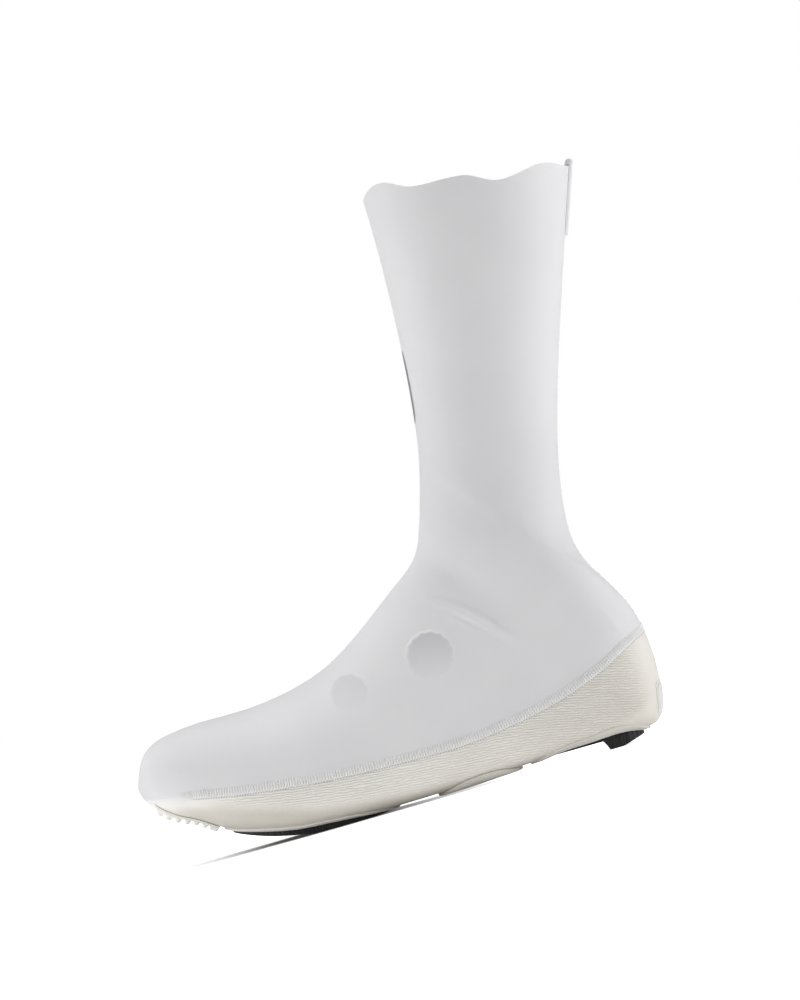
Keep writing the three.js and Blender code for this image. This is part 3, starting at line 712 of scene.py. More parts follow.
def cords(tree, place, pitch, length, waver):
    """Short wavy cords in staggered rows: a height, and a mask of the grooves between them."""
    x, y, _ = parts(tree, place)
    lane = (y + (cloud(tree, place, 260, 1) - 0.5) * waver * 2) / pitch
    cord = lane.fraction().sine().maths("POWER", 0.5)
    stagger = (lane.maths("FLOOR") * 0.37).fraction()
    height = cord * ((x / length + stagger).fraction().sine() * 0.3 + 0.7)
    return height, height * -1 + 1


def drifting(tree, patches, grain):
    place = add(tree, "TexCoord").outputs["Object"]
    return use_group(tree, drift, ("Tone", "Speck"), Vector=place, Patches=patches, Grain=grain)


def new_material(name, roughness, sheen=0.0, coat=0.0):
    """A material with the finishes that are the same all over set on its shader."""
    material = bpy.data.materials.new(name)
    material.use_nodes = True
    tree = material.node_tree
    shader = tree.nodes["Principled BSDF"]
    finishes = {"Roughness": roughness, "Sheen Weight": sheen, "Sheen Roughness": 0.5}
    feed(tree, shader, finishes | {"Coat Weight": coat, "Coat Roughness": 0.4, "Specular IOR Level": 0.3})
    return material, tree, shader


def colour_between(tree, shader, light, dark, mask):
    """Feeds a shader's base colour from a colour or socket and a colour by a mask, 0 for the first."""
    first = light if isinstance(light, bpy.types.NodeSocket) else (*light, 1)
    blend = add(tree, "Mix", {"A": first, "B": (*dark, 1), "Factor": mask}, data_type="RGBA")
    feed(tree, shader, {"Base Color": blend.outputs["Result"]})


def under_colour(shader):
    """What feeds a shader's base colour so far."""
    return shader.inputs["Base Color"].links[0].from_socket


def bumped(tree, shader, height, depth):
    """Feeds a shader's normal from a height, with its depth in metres."""
    bump = add(tree, "Bump", {"Distance": depth, "Height": height})
    feed(tree, shader, {"Normal": bump.outputs["Normal"]})


def woven(name, light, dark, threads, depth, roughness=0.62, share=0.5):
    """Cloth of fine crossing threads, laid out by the piece's own map in metres."""
    material, tree, shader = new_material(name, roughness, sheen=0.15)
    height, gap = use_group(tree, weave, ("Height", "Gap"), Vector=own_map(tree), Threads=threads)
    tone, speck = drifting(tree, 16, 1400)
    # Painted shade between the threads: the gaps take the darker colour, over a random tone.
    colour_between(tree, shader, light, dark, gap * share + tone.between(0.35, 0.65, 0, 0.35))
    bumped(tree, shader, height + speck * 0.5, depth)
    feed(tree, shader, {"Roughness": gap.between(0, 1, roughness - 0.06, roughness + 0.12)})
    return material


def ribbed(colours, pitch):
    """The rand's cream fabric: staggered cords that fade to a smooth film low down."""
    material, tree, shader = new_material("rand_cords", 0.72, sheen=0.1)
    lengths = {"Pitch": pitch, "Length": CORD_LENGTH, "Waver": CORD_WAVER}
    height, groove = use_group(tree, cords, ("Height", "Groove"), Vector=own_map(tree), **lengths)
    ribs, film_shade, tip = (attribute(tree, name) for name in ("rib_depth", "film_shade", "tip"))
    tone, speck = drifting(tree, 22, 1100)
    uneven = tone.between(0.35, 0.65, 0, 0.16) + speck.between(0.3, 0.7, 0, 0.1)
    # Painted shade: the grooves between the cords and the rand low under the foot take the cord shade colour;
    # the uneven tone is random.
    mask = groove.between(0.15, 0.95) * ribs * 0.5 + uneven + film_shade * 0.85
    colour_between(tree, shader, colours.cord, colours.cord_shade, mask)
    colour_between(tree, shader, under_colour(shader), colours.fabric, tip)
    bumped(tree, shader, height * ribs + speck * 0.12, 0.32 * MM)
    feed(tree, shader, {"Roughness": ribs.between(0, 1, 0.55, 0.78)})
    return material


@cache
def threads():
    """Spun overlock thread, finely twisted along each stitch."""
    colours = bpy.context.scene.overshoe_colours
    material, tree, shader = new_material("overlock_thread", 0.7, sheen=0.3)
    _, speck = drifting(tree, 500, 4200)
    colour_between(tree, shader, colours.thread, colours.thread_shade, speck.between(0.35, 0.75, 0, 0.12))
    bumped(tree, shader, speck, 0.12 * MM)
    return material


def seam_cloth(colours, pitch):
    """The cloth under the overlock, with a row of needle holes along each edge."""
    material, tree, shader = new_material("seam_bed", 0.7, sheen=0.1)
    run, across, _ = parts(tree, own_map(tree))
    along = ((run / pitch).fraction() - 0.5) * (pitch / HOLE_RADIUS)
    rows = []
    for middle, strength in ((-2.45 * MM, 0.75), (2 * MM, 0.15)):
        beside = (across - middle) / HOLE_RADIUS
        rows.append((along * along + beside * beside).between(1.6, 0.2) * strength)
    holes = rows[0] + rows[1]
    _, speck = drifting(tree, 300, 3000)
    mask = (holes + speck.between(0.35, 0.7, 0, 0.08)).maths("MINIMUM", 1)
    colour_between(tree, shader, colours.fabric, colours.thread_shade, mask)
    bumped(tree, shader, speck - holes, 0.12 * MM)
    return material


def rubber(name, light, dark, roughness, grain, depth):
    """Moulded rubber with a fine grain and worn, slightly paler high spots."""
    material, tree, shader = new_material(name, roughness)
    tone, speck = drifting(tree, 35, grain)
    mask = tone.between(0.35, 0.7, 0, 0.6) + speck.between(0.4, 0.7, 0, 0.3)
    colour_between(tree, shader, light, dark, mask)
    bumped(tree, shader, speck, depth)
    feed(tree, shader, {"Roughness": tone.between(0.3, 0.7, roughness - 0.08, roughness + 0.1)})
    return material


# Pieces


class Piece:
    """What the operators share: each builds its pieces from the sizes and colours in the panel."""

    def execute(self, context):
        self.build(context.scene.overshoe_sizes, context.scene.overshoe_colours)
        return {"FINISHED"}


def eased_shares(count):
    """Shares from 0 to 1 that lie closer together at both ends."""
    even = np.linspace(0, 1, count)
    return mix(even, (1 - np.cos(even * math.pi)) / 2, 0.85)


def upper_rows():
    """The stations of the upper's rows, from the toe tip to the collar."""
    shape, detail = last(), bpy.context.scene.overshoe_detail
    tip = np.linspace(0, shape.seam_first, 13)[:-1]
    foot = mix(shape.seam_first, shape.seam_last, eased_shares(detail.foot_rows))
    shaft = np.linspace(shape.seam_last, shape.collar, detail.shaft_rows)[1:]
    return np.concatenate([tip, foot, shaft])


def refine(bm, sizes):
    """Splits the faces round the dials and along the narrow folds, so that they come out crisp."""
    for margin in (3.2, 2.2):
        edges = list(bm.edges)
        middles = np.array([(edge.verts[0].co + edge.verts[1].co) / 2 for edge in edges])
        x, z = middles[:, 0], middles[:, 2]
        chosen = np.zeros(len(edges), dtype=bool)
        for at, up, radius, *_ in DIAL_BUMPS:
            away = np.hypot(x - at * sizes.length, z - up * sizes.throat_height)
            chosen |= np.abs(away - radius * MM) < margin * MM
        for fold in FOLDS:
            if fold[1] < 2:
                chosen |= fold_distance(x, z, fold[0])[0] < 2 * margin * MM
        chosen &= middles[:, 1] < -3 * MM
        picked = [edge for edge, wanted in zip(edges, chosen) if wanted]
        bmesh.ops.subdivide_edges(bm, edges=picked, cuts=1, use_grid_fill=True)


class OVERSHOE_OT_upper(Piece, bpy.types.Operator):
    """Builds the stretch-fabric foot and shaft, with its folds and the dials that press through it"""

    bl_idname = "overshoe.upper"
    bl_label = "Upper"

    def build(self, sizes, colours):
        shape, count = last(), bpy.context.scene.overshoe_detail.columns
        rows, uvs, run = [], [], 0.0
        for station in upper_rows():
            shares = np.linspace(*shape.crossings(station), count)
            row = shape.row(station, shares)
            if rows:
                run += float(np.linalg.norm(row[count // 4] - rows[-1][count // 4]))
            rows.append(row)
            uvs.append(np.stack([(shares - 0.5) * shape.ring(station)[2], np.full(count, run)], axis=1))
        bm = bmesh.new()
        mapped_grid(bm, rows, uvs)
        weld(bm)
        turn_outward(bm)
        refine(bm, sizes)
        bm.normal_update()
        places = np.array([vert.co for vert in bm.verts])
        # Darker tone: where a dial inside shows through, with painted shade on its face that fades to its
        # lower side, and a band of painted shade across the middle of the shaft.
        shown = sum(dial[-1] * dial_rim(places[:, 0], places[:, 2], dial, 1.1) for dial in DIAL_BUMPS)
        dial_and_shade = shown * (places[:, 1] < 0) + 0.15 * np.exp(-(((places[:, 2] - 0.16) / 0.06) ** 2))
        layer = bm.verts.layers.float.new("dial_and_shade_tone")
        for vert, lift, tone in zip(bm.verts, relief(places), dial_and_shade):
            vert.co += vert.normal * float(lift)
            vert[layer] = float(tone)
        outer = woven("stretch_cloth", colours.fabric, colours.fabric_shade, 2100, 0.05 * MM, share=0.35)
        tree = outer.node_tree
        shader = tree.nodes["Principled BSDF"]
        colour_between(tree, shader, under_colour(shader), colours.dial, attribute(tree, "dial_and_shade_tone"))
        lining = woven("upper_lining", colours.lining, colours.fabric_shade, 1300, 0.1 * MM, roughness=0.8)
        finish_piece(bm, "upper_skin", [outer, lining], ["upper"], wall=sizes.wall)


def cord_drop():
    """How far the cords' line has fallen at each place along the foot."""
    known, angles = np.array(CORD_SLOPE).T
    places = np.linspace(known[0], known[-1], 200)
    slopes = np.interp(places, known, np.tan(np.radians(angles)))
    return places, np.cumsum(slopes) * (places[1] - places[0])


def inside_outline(outline, x, y):
    """Which plan points lie inside a closed outline."""
    found = np.zeros(x.shape, dtype=bool)
    for (ax, ay), (bx, by) in zip(outline, np.roll(outline, -1, axis=0)):
        if ay != by:
            found ^= ((ay > y) != (by > y)) & (x < (bx - ax) * (y - ay) / (by - ay) + ax)
    return found


def underfoot(place, count=120, grow=0.0):
    """A rounded plan outline under the foot, moved out by a distance."""
    shape, (front, back, width) = last(), place
    angle = np.linspace(0, 2 * math.pi, count + 1)
    looped = []
    for along, across in zip(powered(np.cos(angle), 2 / 3), powered(np.sin(angle), 2 / 3)):
        x = mix(front, back, 0.5 + along / 2) * shape.sizes.length
        looped.append((x, shape.under(x, SWING) + width * shape.under(x, HALF_WIDTH) * across))
    looped = np.array(looped)
    run = running(looped)
    even = sample(looped, run, np.linspace(0, run[-1], count + 1)[:-1])
    tangent = np.roll(even, -1, axis=0) - np.roll(even, 1, axis=0)
    normal = np.stack([tangent[:, 1], -tangent[:, 0]], axis=1)
    return even + normal / np.linalg.norm(normal, axis=1, keepdims=True) * grow


def rand_masks(x, far):
    """The rand's masks, at places along the foot and distances below the seam.

    Rib_depth is 1 where the cords stand full and 0 where they have faded to a smooth film. The film mask is
    1 where the rand is painted darker, low under the ball and the waist and towards the heel: the film is a
    little more beige, but most of this is painted shade. Tip is 1 at the toe tip's seam, where the rand takes
    the upper's colour without a line between them.
    """
    reach = np.interp(x, [0.04, 0.09, 0.16, 0.24, 0.288], [0.009, 0.017, 0.024, 0.033, 0.04])
    start = smooth(clipped((x - 30 * MM) / (26 * MM))) * smooth(clipped((284 * MM - x) / (12 * MM)))
    # Painted shade: darker further below the seam, less so at the heel, and partly over the whole height
    # towards the heel.
    deep = smooth(clipped((far - reach + 6 * MM) / (9 * MM))) * smooth(clipped((x - 2 * MM) / (30 * MM)))
    heel = mix(0.45, 1, smooth(clipped((262 * MM - x) / (50 * MM))))
    heel_shade = 0.4 * clipped((x - 200 * MM) / (60 * MM))
    tip = smooth(clipped((42 * MM - x) / (22 * MM))) * smooth(clipped(1 - far / (10 * MM)))
    ribs = start * smooth(clipped((reach - far) / (6 * MM)))
    return {"rib_depth": ribs, "film_shade": np.maximum(deep * heel, heel_shade), "tip": tip}


def cut_openings(bm):
    faces = list(bm.faces)
    middles = np.array([face.calc_center_median() for face in faces])
    inside = np.zeros(len(faces), dtype=bool)
    for place in (BALL_OPENING, HEEL_OPENING):
        inside |= inside_outline(underfoot(place, grow=1.9 * MM), middles[:, 0], middles[:, 1])
    inside &= middles[:, 2] < 0.2 * last().sizes.throat_height
    bmesh.ops.delete(bm, geom=[face for face, gone in zip(faces, inside) if gone], context="FACES")


class OVERSHOE_OT_rand(Piece, bpy.types.Operator):
    """Builds the ribbed fabric rand that wraps under the foot, open at ball and heel"""

    bl_idname = "overshoe.rand"
    bl_label = "Rand"

    def build(self, sizes, colours):
        shape = last()
        places, fall = cord_drop()
        down = np.linspace(0, 1, 63) ** 1.25
        rows, uvs, masks = [], [], []
        for station in seam_stations(eased_shares(190)):
            outer, inner = shape.crossings(station)
            shares = np.concatenate([outer * (1 - down), (inner - 1) * down[1:]])
            row = shape.at(station, shares % 1.0)
            rows.append(row)
            cord = row[:, 2] - sizes.length * np.interp(row[:, 0] / sizes.length, places, fall)
            uvs.append(np.stack([row[:, 0] + row[:, 1] * 0.3, cord], axis=1))
            far = np.concatenate([outer * down, (1 - inner) * (1 - down[1:])]) * shape.ring(station)[2]
            masks.append(rand_masks(row[:, 0], far))
        for end in (0, -1):
            rows[end][:] = rows[end].mean(axis=0)
        bm = bmesh.new()
        for name in masks[0]:
            bm.verts.layers.float.new(name)
        table = mapped_grid(bm, rows, uvs)
        for name in masks[0]:
            layer = bm.verts.layers.float[name]
            for vert, (i, j) in table.items():
                vert[layer] = masks[i][name][j]
        cut_openings(bm)
        weld(bm)
        turn_outward(bm)
        fabric = ribbed(colours, sizes.cord_pitch)
        finish_piece(bm, "rand_skin", [fabric], ["rand"], wall=sizes.wall)


def seam_stations(shares):
    """Stations along the seam, from the toe to the heel."""
    shape = last()
    return mix(shape.seam_first + SEAM_CLEAR, shape.seam_last - SEAM_CLEAR, shares)


@cache
def seam_path():
    """Points along the seam from the toe round the outer side, the heel and the inner side."""
    shape = last()
    outer, inner = [], []
    for station in seam_stations((1 - np.cos(np.linspace(0, math.pi, 700))) / 2):
        pair = shape.at(station, np.array(shape.crossings(station)))
        outer.append(pair[0])
        inner.append(pair[1])
    line = np.array(outer + inner[::-1])
    run = running(line)
    sewn = np.flatnonzero(line[:, 0] > shape.sizes.seam_start)
    return line, run, run[sewn[0]], run[sewn[-1]]


def seam_frame(distance):
    """A point of the seam at a distance along it, with the directions along it and up across it."""
    line, run, _, _ = seam_path()
    here, ahead = (Vector(sample(line, run, d)) for d in (distance, distance + 0.5 * MM))
    near, out = outward(here)
    along = (ahead - here).normalized()
    up = out.cross(along).normalized()
    return near, along, up if up.z > 0 else -up


def seam_relief(place):
    """The seam lies flatter round the back of the heel."""
    return mix(1, 0.5, smooth(clipped((place.x - 262 * MM) / (20 * MM))))


def add_tube(bm, path, radii, sides=6):
    """A thin tube along a path, closed where its radius is nought."""
    points = []
    turns = [2 * math.pi * k / sides for k in range(sides + 1)]
    for i, place in enumerate(path):
        ahead = path[min(i + 1, len(path) - 1)] - path[max(i - 1, 0)]
        ahead.normalize()
        first = ahead.orthogonal() if i == 0 else first - ahead * first.dot(ahead)
        first.normalize()
        second = ahead.cross(first)
        points.append([place + (first * math.cos(t) + second * math.sin(t)) * radii[i] for t in turns])
    mapped_grid(bm, points)


def back_stitches():
    """Short flat stitches up the back of the shaft, from the heel to the pull tab."""
    shape = last()
    stations = np.linspace(shape.seam_last + 0.3, shape.collar - 1.25, 900)
    line = np.array([shape.at(station, [0.0])[0] for station in stations])
    run = running(line)
    bm = bmesh.new()
    pitch, stitch = 3.4 * MM, 2.3 * MM
    for k in range(int(run[-1] / pitch)):
        path = []
        for share in (0, 0.12, 0.5, 0.88, 1):
            place = Vector(sample(line, run, k * pitch + share * stitch))
            path.append(laid(place, (0.08 - 0.3 * abs(share - 0.5) ** 2) * MM))
        add_tube(bm, path, [radius * MM for radius in (0, 0.14, 0.17, 0.14, 0)])
    close_up(bm)
    finish_piece(bm, "back_stitches", [threads()])


def bed(sizes, colours, first, final):
    """A low cushion of cloth under the stitches, tapered at its ends."""
    half = sizes.seam_width / 2
    profile = ((-1, 0.28), (-0.85, 0.42), (-0.45, 0.5), (0, 0.48), (0.45, 0.4), (0.8, 0.3), (1, 0.12))
    rows, uvs = [], []
    steps = int((final - first) / (1.1 * MM))
    for i in range(steps + 1):
        distance = mix(first, final, i / steps)
        near, _, up = seam_frame(distance)
        taper = smooth(min(1, i / 9, (steps - i) / 9))
        wide, high = half * mix(0.2, 1, taper), max(0.04, taper) * seam_relief(near) * MM
        rows.append([laid(near + up * (across * wide), height * high) for across, height in profile])
        uvs.append([(distance, across * half) for across, _ in profile])
    cloth = seam_cloth(colours, sizes.stitch_pitch)
    make_piece("seam_bed", cloth, rows, uvs, ["seam_band"], wall=0.1 * MM)


def stitches(sizes, first, final):
    """Threads that cross the seam, one square to it and one slanting for each needle hole."""
    bm = bmesh.new()
    half, pitch = sizes.seam_width / 2, sizes.stitch_pitch
    count = int((final - first) / pitch)
    for k in range(count):
        near, along, up = seam_frame(first + (k + 0.5) * pitch)
        fade = min(1, (k + 3) / 12, (count + 2 - k) / 12)
        lie = seam_relief(near)
        wobble = noise.noise(Vector((k * 0.61, 0.3, 0.7)))
        for slant, aside, start, end, thick in STITCHES:
            path, radii = [], []
            for share in (0, 0.1, 0.3, 0.5, 0.7, 0.9, 1):
                across = mix(start, end + 0.3 * wobble, share) * half
                arch = 1 - (2 * share - 1) ** 4
                sideways = (slant * (share - 0.5) * 2 + 0.12 * wobble + aside) * pitch
                low = near + up * across + along * sideways
                path.append(laid(low, (0.05 + 0.72 * arch * fade * lie) * MM))
                radii.append(0 if share in (0, 1) else sizes.thread * thick * mix(0.55, 1, arch) * fade)
            add_tube(bm, path, radii)
    close_up(bm)
    finish_piece(bm, "seam_stitches", [threads()])


class OVERSHOE_OT_seam(Piece, bpy.types.Operator):
    """Builds the overlock seam between upper and rand: its bed and its threads"""

    bl_idname = "overshoe.seam"
    bl_label = "Overlock seam"

    def build(self, sizes, colours):
        _, _, first, final = seam_path()
        bed(sizes, colours, first, final)
        stitches(sizes, first, final)
        back_stitches()


def hem(name, node, place, sizes, cloth):
    """A strip turned round the raw edge of an opening."""
    wide, top = sizes.hem_width / MM, (sizes.gap + sizes.hem_thick) / MM
    section = (
        (0.7, -1.2), (0.1, -1.1), (-0.12, -0.6), (-0.14, 0.2), (0, top - 0.25), (0.35, top),
        (wide * 0.3, top + 0.02), (wide * 0.5, top - 0.12), (wide * 0.7, top), (wide - 0.4, top - 0.06),
        (wide, top - 0.4), (wide - 0.05, 0.03), (wide * 0.5, 0.03), (1, 0.03), (0.8, -0.6), (0.7, -1.2),
    )
    count = 220
    rings = [underfoot(place, count, out * MM) for out, _ in section]
    rows, uvs, run = [], [], 0.0
    for i in range(count + 1):
        row = [laid_under(*ring[i % count], up * MM) for ring, (_, up) in zip(rings, section)]
        if rows:
            run += float(np.linalg.norm(np.array(row[6]) - np.array(rows[-1][6])))
        rows.append(row)
        uvs.append([(run, out * MM) for out, _ in section])
    make_piece(name, cloth, rows, uvs, [node])


def strap(cloth):
    """A flat strap under the waist, thicker than the hems and rounded at its edges."""
    levels = (
        (0, 1.98), (0.5, 1.98), (0.9, 1.92), (0.97, 1.7), (1, 1.02), (0.985, 0.05), (0.5, 0.05),
        (0, 0.05),
    )
    outline = underfoot(STRAP_PLACE, count=160)
    centre = outline.mean(axis=0)
    uvs = [[mix(centre, place, share) for share, _ in levels] for place in (*outline, outline[0])]
    rows = [[laid_under(*at, up * MM) for at, (_, up) in zip(row, levels)] for row in uvs]
    make_piece("waist_strap", cloth, rows, uvs, ["arch_strap"])


class OVERSHOE_OT_hems(Piece, bpy.types.Operator):
    """Builds the turned hems round the two sole openings and the strap across the waist"""

    bl_idname = "overshoe.hems"
    bl_label = "Hems and strap"

    def build(self, sizes, colours):
        cloth = woven("hem_cloth", colours.hem, colours.cord_shade, 1500, 0.08 * MM, 0.7, 0.2)
        hem("ball_hem", "forefoot_hem", BALL_OPENING, sizes, cloth)
        hem("heel_hem_strip", "heel_hem", HEEL_OPENING, sizes, cloth)
        strap(cloth)


def rocker(level, end, rise, x):
    """Height at x of an arc that leaves the floor level at one place and has risen by the other."""
    run = abs(end - level)
    radius = (run * run + rise * rise) / (2 * rise)
    along = min(run, max(0, (x - level) * (1 if end > level else -1)))
    return radius - math.sqrt(radius * radius - along * along)


def ball_tread(x):
    """Height of the ball's tread plate: a short flat with an arc to both ends."""
    shape = last()
    front, back, flat = (at * shape.sizes.length for at in (*BALL_OPENING[:2], BALL_FLAT_MIDDLE))
    if x < flat:
        return rocker(flat - 9 * MM, front, shape.panel(front) - 2 * MM, x)
    return rocker(flat + 9 * MM, back, shape.panel(back) - 0.6 * MM, x)


def heel_tread(x):
    """Height of the heel's tread plate: level with the rand in front, then a step down to a flat."""
    shape = last()
    front, back, flat = (at * shape.sizes.length for at in (*HEEL_OPENING[:2], HEEL_FLAT_FRONT))
    places = (front, flat - 2.5 * MM, flat, flat + 8 * MM, back)
    high = shape.panel(front) + 0.5 * MM, shape.panel(flat) + 0.5 * MM
    return float(np.interp(x, places, (*high, 0, 0, shape.panel(back) - 2.4 * MM)))


def cut_tread(tree):
    """Fine slanting grooves that cross into small lozenges."""
    x, y, _ = parts(tree, add(tree, "TexCoord").outputs["Object"])
    ridges = []
    for slant in (0.8, -0.8):
        wave = ((x + y * slant) / (4.2 * MM)).sine().maths("ABSOLUTE")
        ridges.append(wave.between(0.08, 0.4))
    feeds = {"Distance": 0.5 * MM, "Height": ridges[0].maths("MINIMUM", ridges[1])}
    cut = add(tree, "Bump", feeds | {"Normal": tree.nodes["Bump"].outputs["Normal"]})
    feed(tree, tree.nodes["Principled BSDF"], {"Normal": cut.outputs["Normal"]})


def plate(name, node, place, tread, inside, material):
    """A plug down to the tread's profile, with a flange that lies inside on the rand."""
    count = 200
    outline, flange = (underfoot(place, count, grow * MM) for grow in (-0.3, 3.5))
    rows = []
    for i in range(count + 1):
        plug, rim = Vector(outline[i % count]), Vector(flange[i % count])
        middle = Vector(((plug.x + outline[-i % count][0]) / 2, outline[:, 1].mean()))
        row = []
        for share in (0, 0.15, 0.3, 0.45, 0.6, 0.72, 0.82, 0.9, 0.95, 0.98, 1):
            x, y = middle.lerp(plug, share)
            round_off = 0.35 * MM * max(0, (share - 0.9) / 0.1) ** 2
            row.append(Vector((x, y, tread(x) + round_off)))
        top = laid_under(*plug, inside)
        row += [row[-1].lerp(top, 0.3), top]
        row += [laid_under(*rim, height) for height in (inside, inside - 1.8 * MM)]
        row += [laid_under(*middle.lerp(rim, share), inside - 2 * MM) for share in (0.97, 0.6, 0.3, 0)]
        rows.append(row)
    make_piece(name, material, rows, replaces=[node], angle=35)


class OVERSHOE_OT_treads(Piece, bpy.types.Operator):
    """Builds the black tread plates under ball and heel"""

    bl_idname = "overshoe.treads"
    bl_label = "Tread plates"

    def build(self, sizes, colours):
        black = rubber("black_rubber", colours.sole_rubber, (0.035, 0.034, 0.032), 0.55, 1500, 0.06 * MM)
        cut_tread(black.node_tree)
        inside = -(sizes.wall + sizes.gap)
        plate("ball_tread_plate", "forefoot_outsole", BALL_OPENING, ball_tread, inside, black)
        plate("heel_tread_plate", "heel_pad", HEEL_OPENING, heel_tread, inside, black)


def rounded(count, square, levels, place):
    """Rows from the middle of a rounded shape over its edge and back, placed by shares across and up."""
    rows = []
    for i in range(count + 1):
        angle = 2 * math.pi * (i % count) / count
        across, up = powered(math.cos(angle), 2 / square), powered(math.sin(angle), 2 / square)
        rows.append([place(share * across, share * up, height * MM) for share, height in levels])
    return rows


def tooth_height(distance, pitch, lug_from, lug_to):
    """Height of the teeth at a distance behind the tread's front."""
    share, flank = (distance / pitch) % 1, 0.42
    if distance >= lug_from:
        share, flank = min(1, (distance - lug_from) / (lug_to - lug_from)), 0.15
    return smooth(min(1, share / flank, (1 - share) / flank)) ** 1.3


def tread(sizes, material):
    """A slab with teeth across it, and a longer lug behind them."""
    shape = last()
    front, back = (place * sizes.length for place in TOE_TREAD_PLACE)
    middle = shape.under(back, SWING)
    half, roots, depth, pitch, step = 18 * MM, 1.4 * MM, 2 * MM, 5 * MM, 0.4 * MM
    walked, places = 0.0, [front]
    while places[-1] < back:
        slope = (shape.panel(places[-1] + MM) - shape.panel(places[-1] - MM)) / (2 * MM)
        places.append(min(back, places[-1] + step / math.hypot(1, slope)))
        walked += step
    lug_from = math.ceil((walked - 9 * MM) / pitch) * pitch
    bm = bmesh.new()
    low, high = [], []
    for i, x in enumerate(places):
        tooth = depth * tooth_height(i * step, pitch, lug_from, walked)
        slab = roots * mix(0.35, 1, smooth(min(1, i * step / (7 * MM))))
        shares = np.linspace(-1, 1, 25)
        low.append([laid_under(x, middle + half * across, sizes.gap) for across in shares])
        edges = [max(0.35, 1 - max(0, (abs(across) - 0.9) / 0.1) ** 2) for across in shares]
        thick = [slab + tooth * edge for edge in edges]
        high.append([laid_under(x, middle + half * across, up) for across, up in zip(shares, thick)])
    table = mapped_grid(bm, low)
    found = {tuple(vert.co): place for vert, place in table.items()}
    made = bmesh.ops.extrude_face_region(bm, geom=list(bm.faces), use_keep_orig=True)
    for vert in made["geom"]:
        if isinstance(vert, bmesh.types.BMVert):
            i, j = found[tuple(vert.co)]
            vert.co = high[i][j]
    close_up(bm)
    finish_piece(bm, "toe_tread", [material], ["toe_bumper"], angle=50)


def patch(sizes, material):
    """A rounded patch that wraps the back of the heel, with a groove inside its edge."""
    half_y, half_z = 16 * MM, 8.75 * MM
    middle = PATCH_BOTTOM * sizes.throat_height + half_z
    levels = (
        (0, 0.7), (0.4, 0.7), (0.78, 0.7), (0.82, 0.6), (0.84, 0.1), (0.9, 0.1), (0.93, 0.6),
        (0.98, 0.5), (1, 0.2), (0.99, 0.03), (0.5, 0.03), (0, 0.03),
    )

    def place(across, up, height):
        return ray_laid((0.4, across * half_y, middle + up * half_z), (-1, 0, 0), height)

    rows = rounded(96, 7, levels, place)
    make_piece("heel_patch", material, rows, replaces=["heel_strip"], angle=50)


class OVERSHOE_OT_toe_tread(Piece, bpy.types.Operator):
    """Builds the toothed tread under the toe and the patch on the back of the heel"""

    bl_idname = "overshoe.toe_tread"
    bl_label = "Toe tread and heel patch"

    def build(self, sizes, colours):
        tread(sizes, rubber("pale_rubber", colours.pale_rubber, colours.cord, 0.55, 1300, 0.05 * MM))
        patch(sizes, rubber("patch_rubber", colours.hem, colours.fabric_shade, 0.6, 1300, 0.05 * MM))


def tab(sizes, colours):
    """Tape that runs up the outside, over the edge in a bead and down inside."""
    shape = last()
    girth = shape.ring(shape.collar)[2]
    over, under, middle = 1.6, -2.5, (-2.4, -0.65)
    section = [(drop, over, (drop, 0.1)) for drop in TAB_DROPS[:0:-1]] + [(0.5, over - 0.2, (0.5, 0.1))]
    section += [(*place, middle) for place in TAB_BEAD]
    section += [(drop, under, (drop, -2.05)) for drop in TAB_INNER_DROPS]
    section += [(drop, -1.6, (drop, -2.05)) for drop in reversed(TAB_INNER_DROPS)]
    section += [(-0.3, -1.6, middle), (-0.3, 0.05, middle)]
    section += [(drop, 0.05, (drop, 0.1)) for drop in TAB_DROPS]
    rows, uvs = [], []
    edge_out = ((-1, 0), (-0.99, 0.5), (-0.965, 0.82), (-0.92, 1))
    turned = tuple((-across, full) for across, full in reversed(edge_out))
    for across, full in (*edge_out, *((k / 8, 1) for k in range(-7, 8)), *turned):
        share = (across * sizes.tab_width / 2 / girth) % 1.0
        edge = shape.row(shape.collar, [share])[0]
        rise = Vector(edge - shape.row(shape.collar - 0.05, [share])[0]).normalized()
        row, around = [], []
        for outer_drop, outer_height, (core_drop, core_height) in section:
            drop, height = mix(core_drop, outer_drop, full), mix(core_height, outer_height, full)
            station = shape.collar - max(0, drop) * MM / (shape.collar_pitch * 1.04)
            base = Vector(shape.row(station, [share])[0])
            place = base + rise * (max(0, -drop) * MM) + outward(base)[1] * (height * MM)
            place.y *= 1 - 0.14 * max(0, (drop - 32) / 3) ** 2
            row.append(place)
            around.append((across * sizes.tab_width / 2, drop * MM))
        rows.append(row + row[:1])
        uvs.append(around + around[:1])
    tape = woven("tab_tape", colours.tape, colours.fabric_shade, 1700, 0.06 * MM, 0.55, 0.3)
    make_piece("pull_tab", tape, rows, uvs, ["collar_tab"])


def strip(colours):
    """One plain upright strip of reflective film on the front of the shin."""
    material, tree, shader = new_material("reflective_film", 0.28, coat=0.2)
    _, speck = drifting(tree, 60, 5200)
    colour_between(tree, shader, colours.print, colours.fabric, speck.between(0.3, 0.8, 0, 0.25))
    bumped(tree, shader, speck, 0.02 * MM)
    feed(tree, shader, {"Metallic": 0.35})
    half_y, half_z, middle = 9 * MM, 20 * MM, 217.5 * MM
    levels = [(share, 0.1) for share in (0, 0.3, 0.6, 0.8)] + [(0.97, 0.09), (1, 0.05)]
    levels += [(share, 0.01) for share in (0.97, 0.8, 0.6, 0.3, 0)]

    def place(across, up, height):
        return ray_laid((0.1, across * half_y, middle + up * half_z), (1, 0, 0), height)

    make_piece("shin_strip", material, rounded(40, 4, levels, place))


class OVERSHOE_OT_tab(Piece, bpy.types.Operator):
    """Builds the pull tab folded over the back of the collar, and the reflective strip on the shin"""

    bl_idname = "overshoe.tab"
    bl_label = "Pull tab and strip"

    def build(self, sizes, colours):
        tab(sizes, colours)
        strip(colours)


def placed(name, data):
    """An object put into the scene."""
    made = bpy.data.objects.new(name, data)
    bpy.context.scene.collection.objects.link(made)
    return made


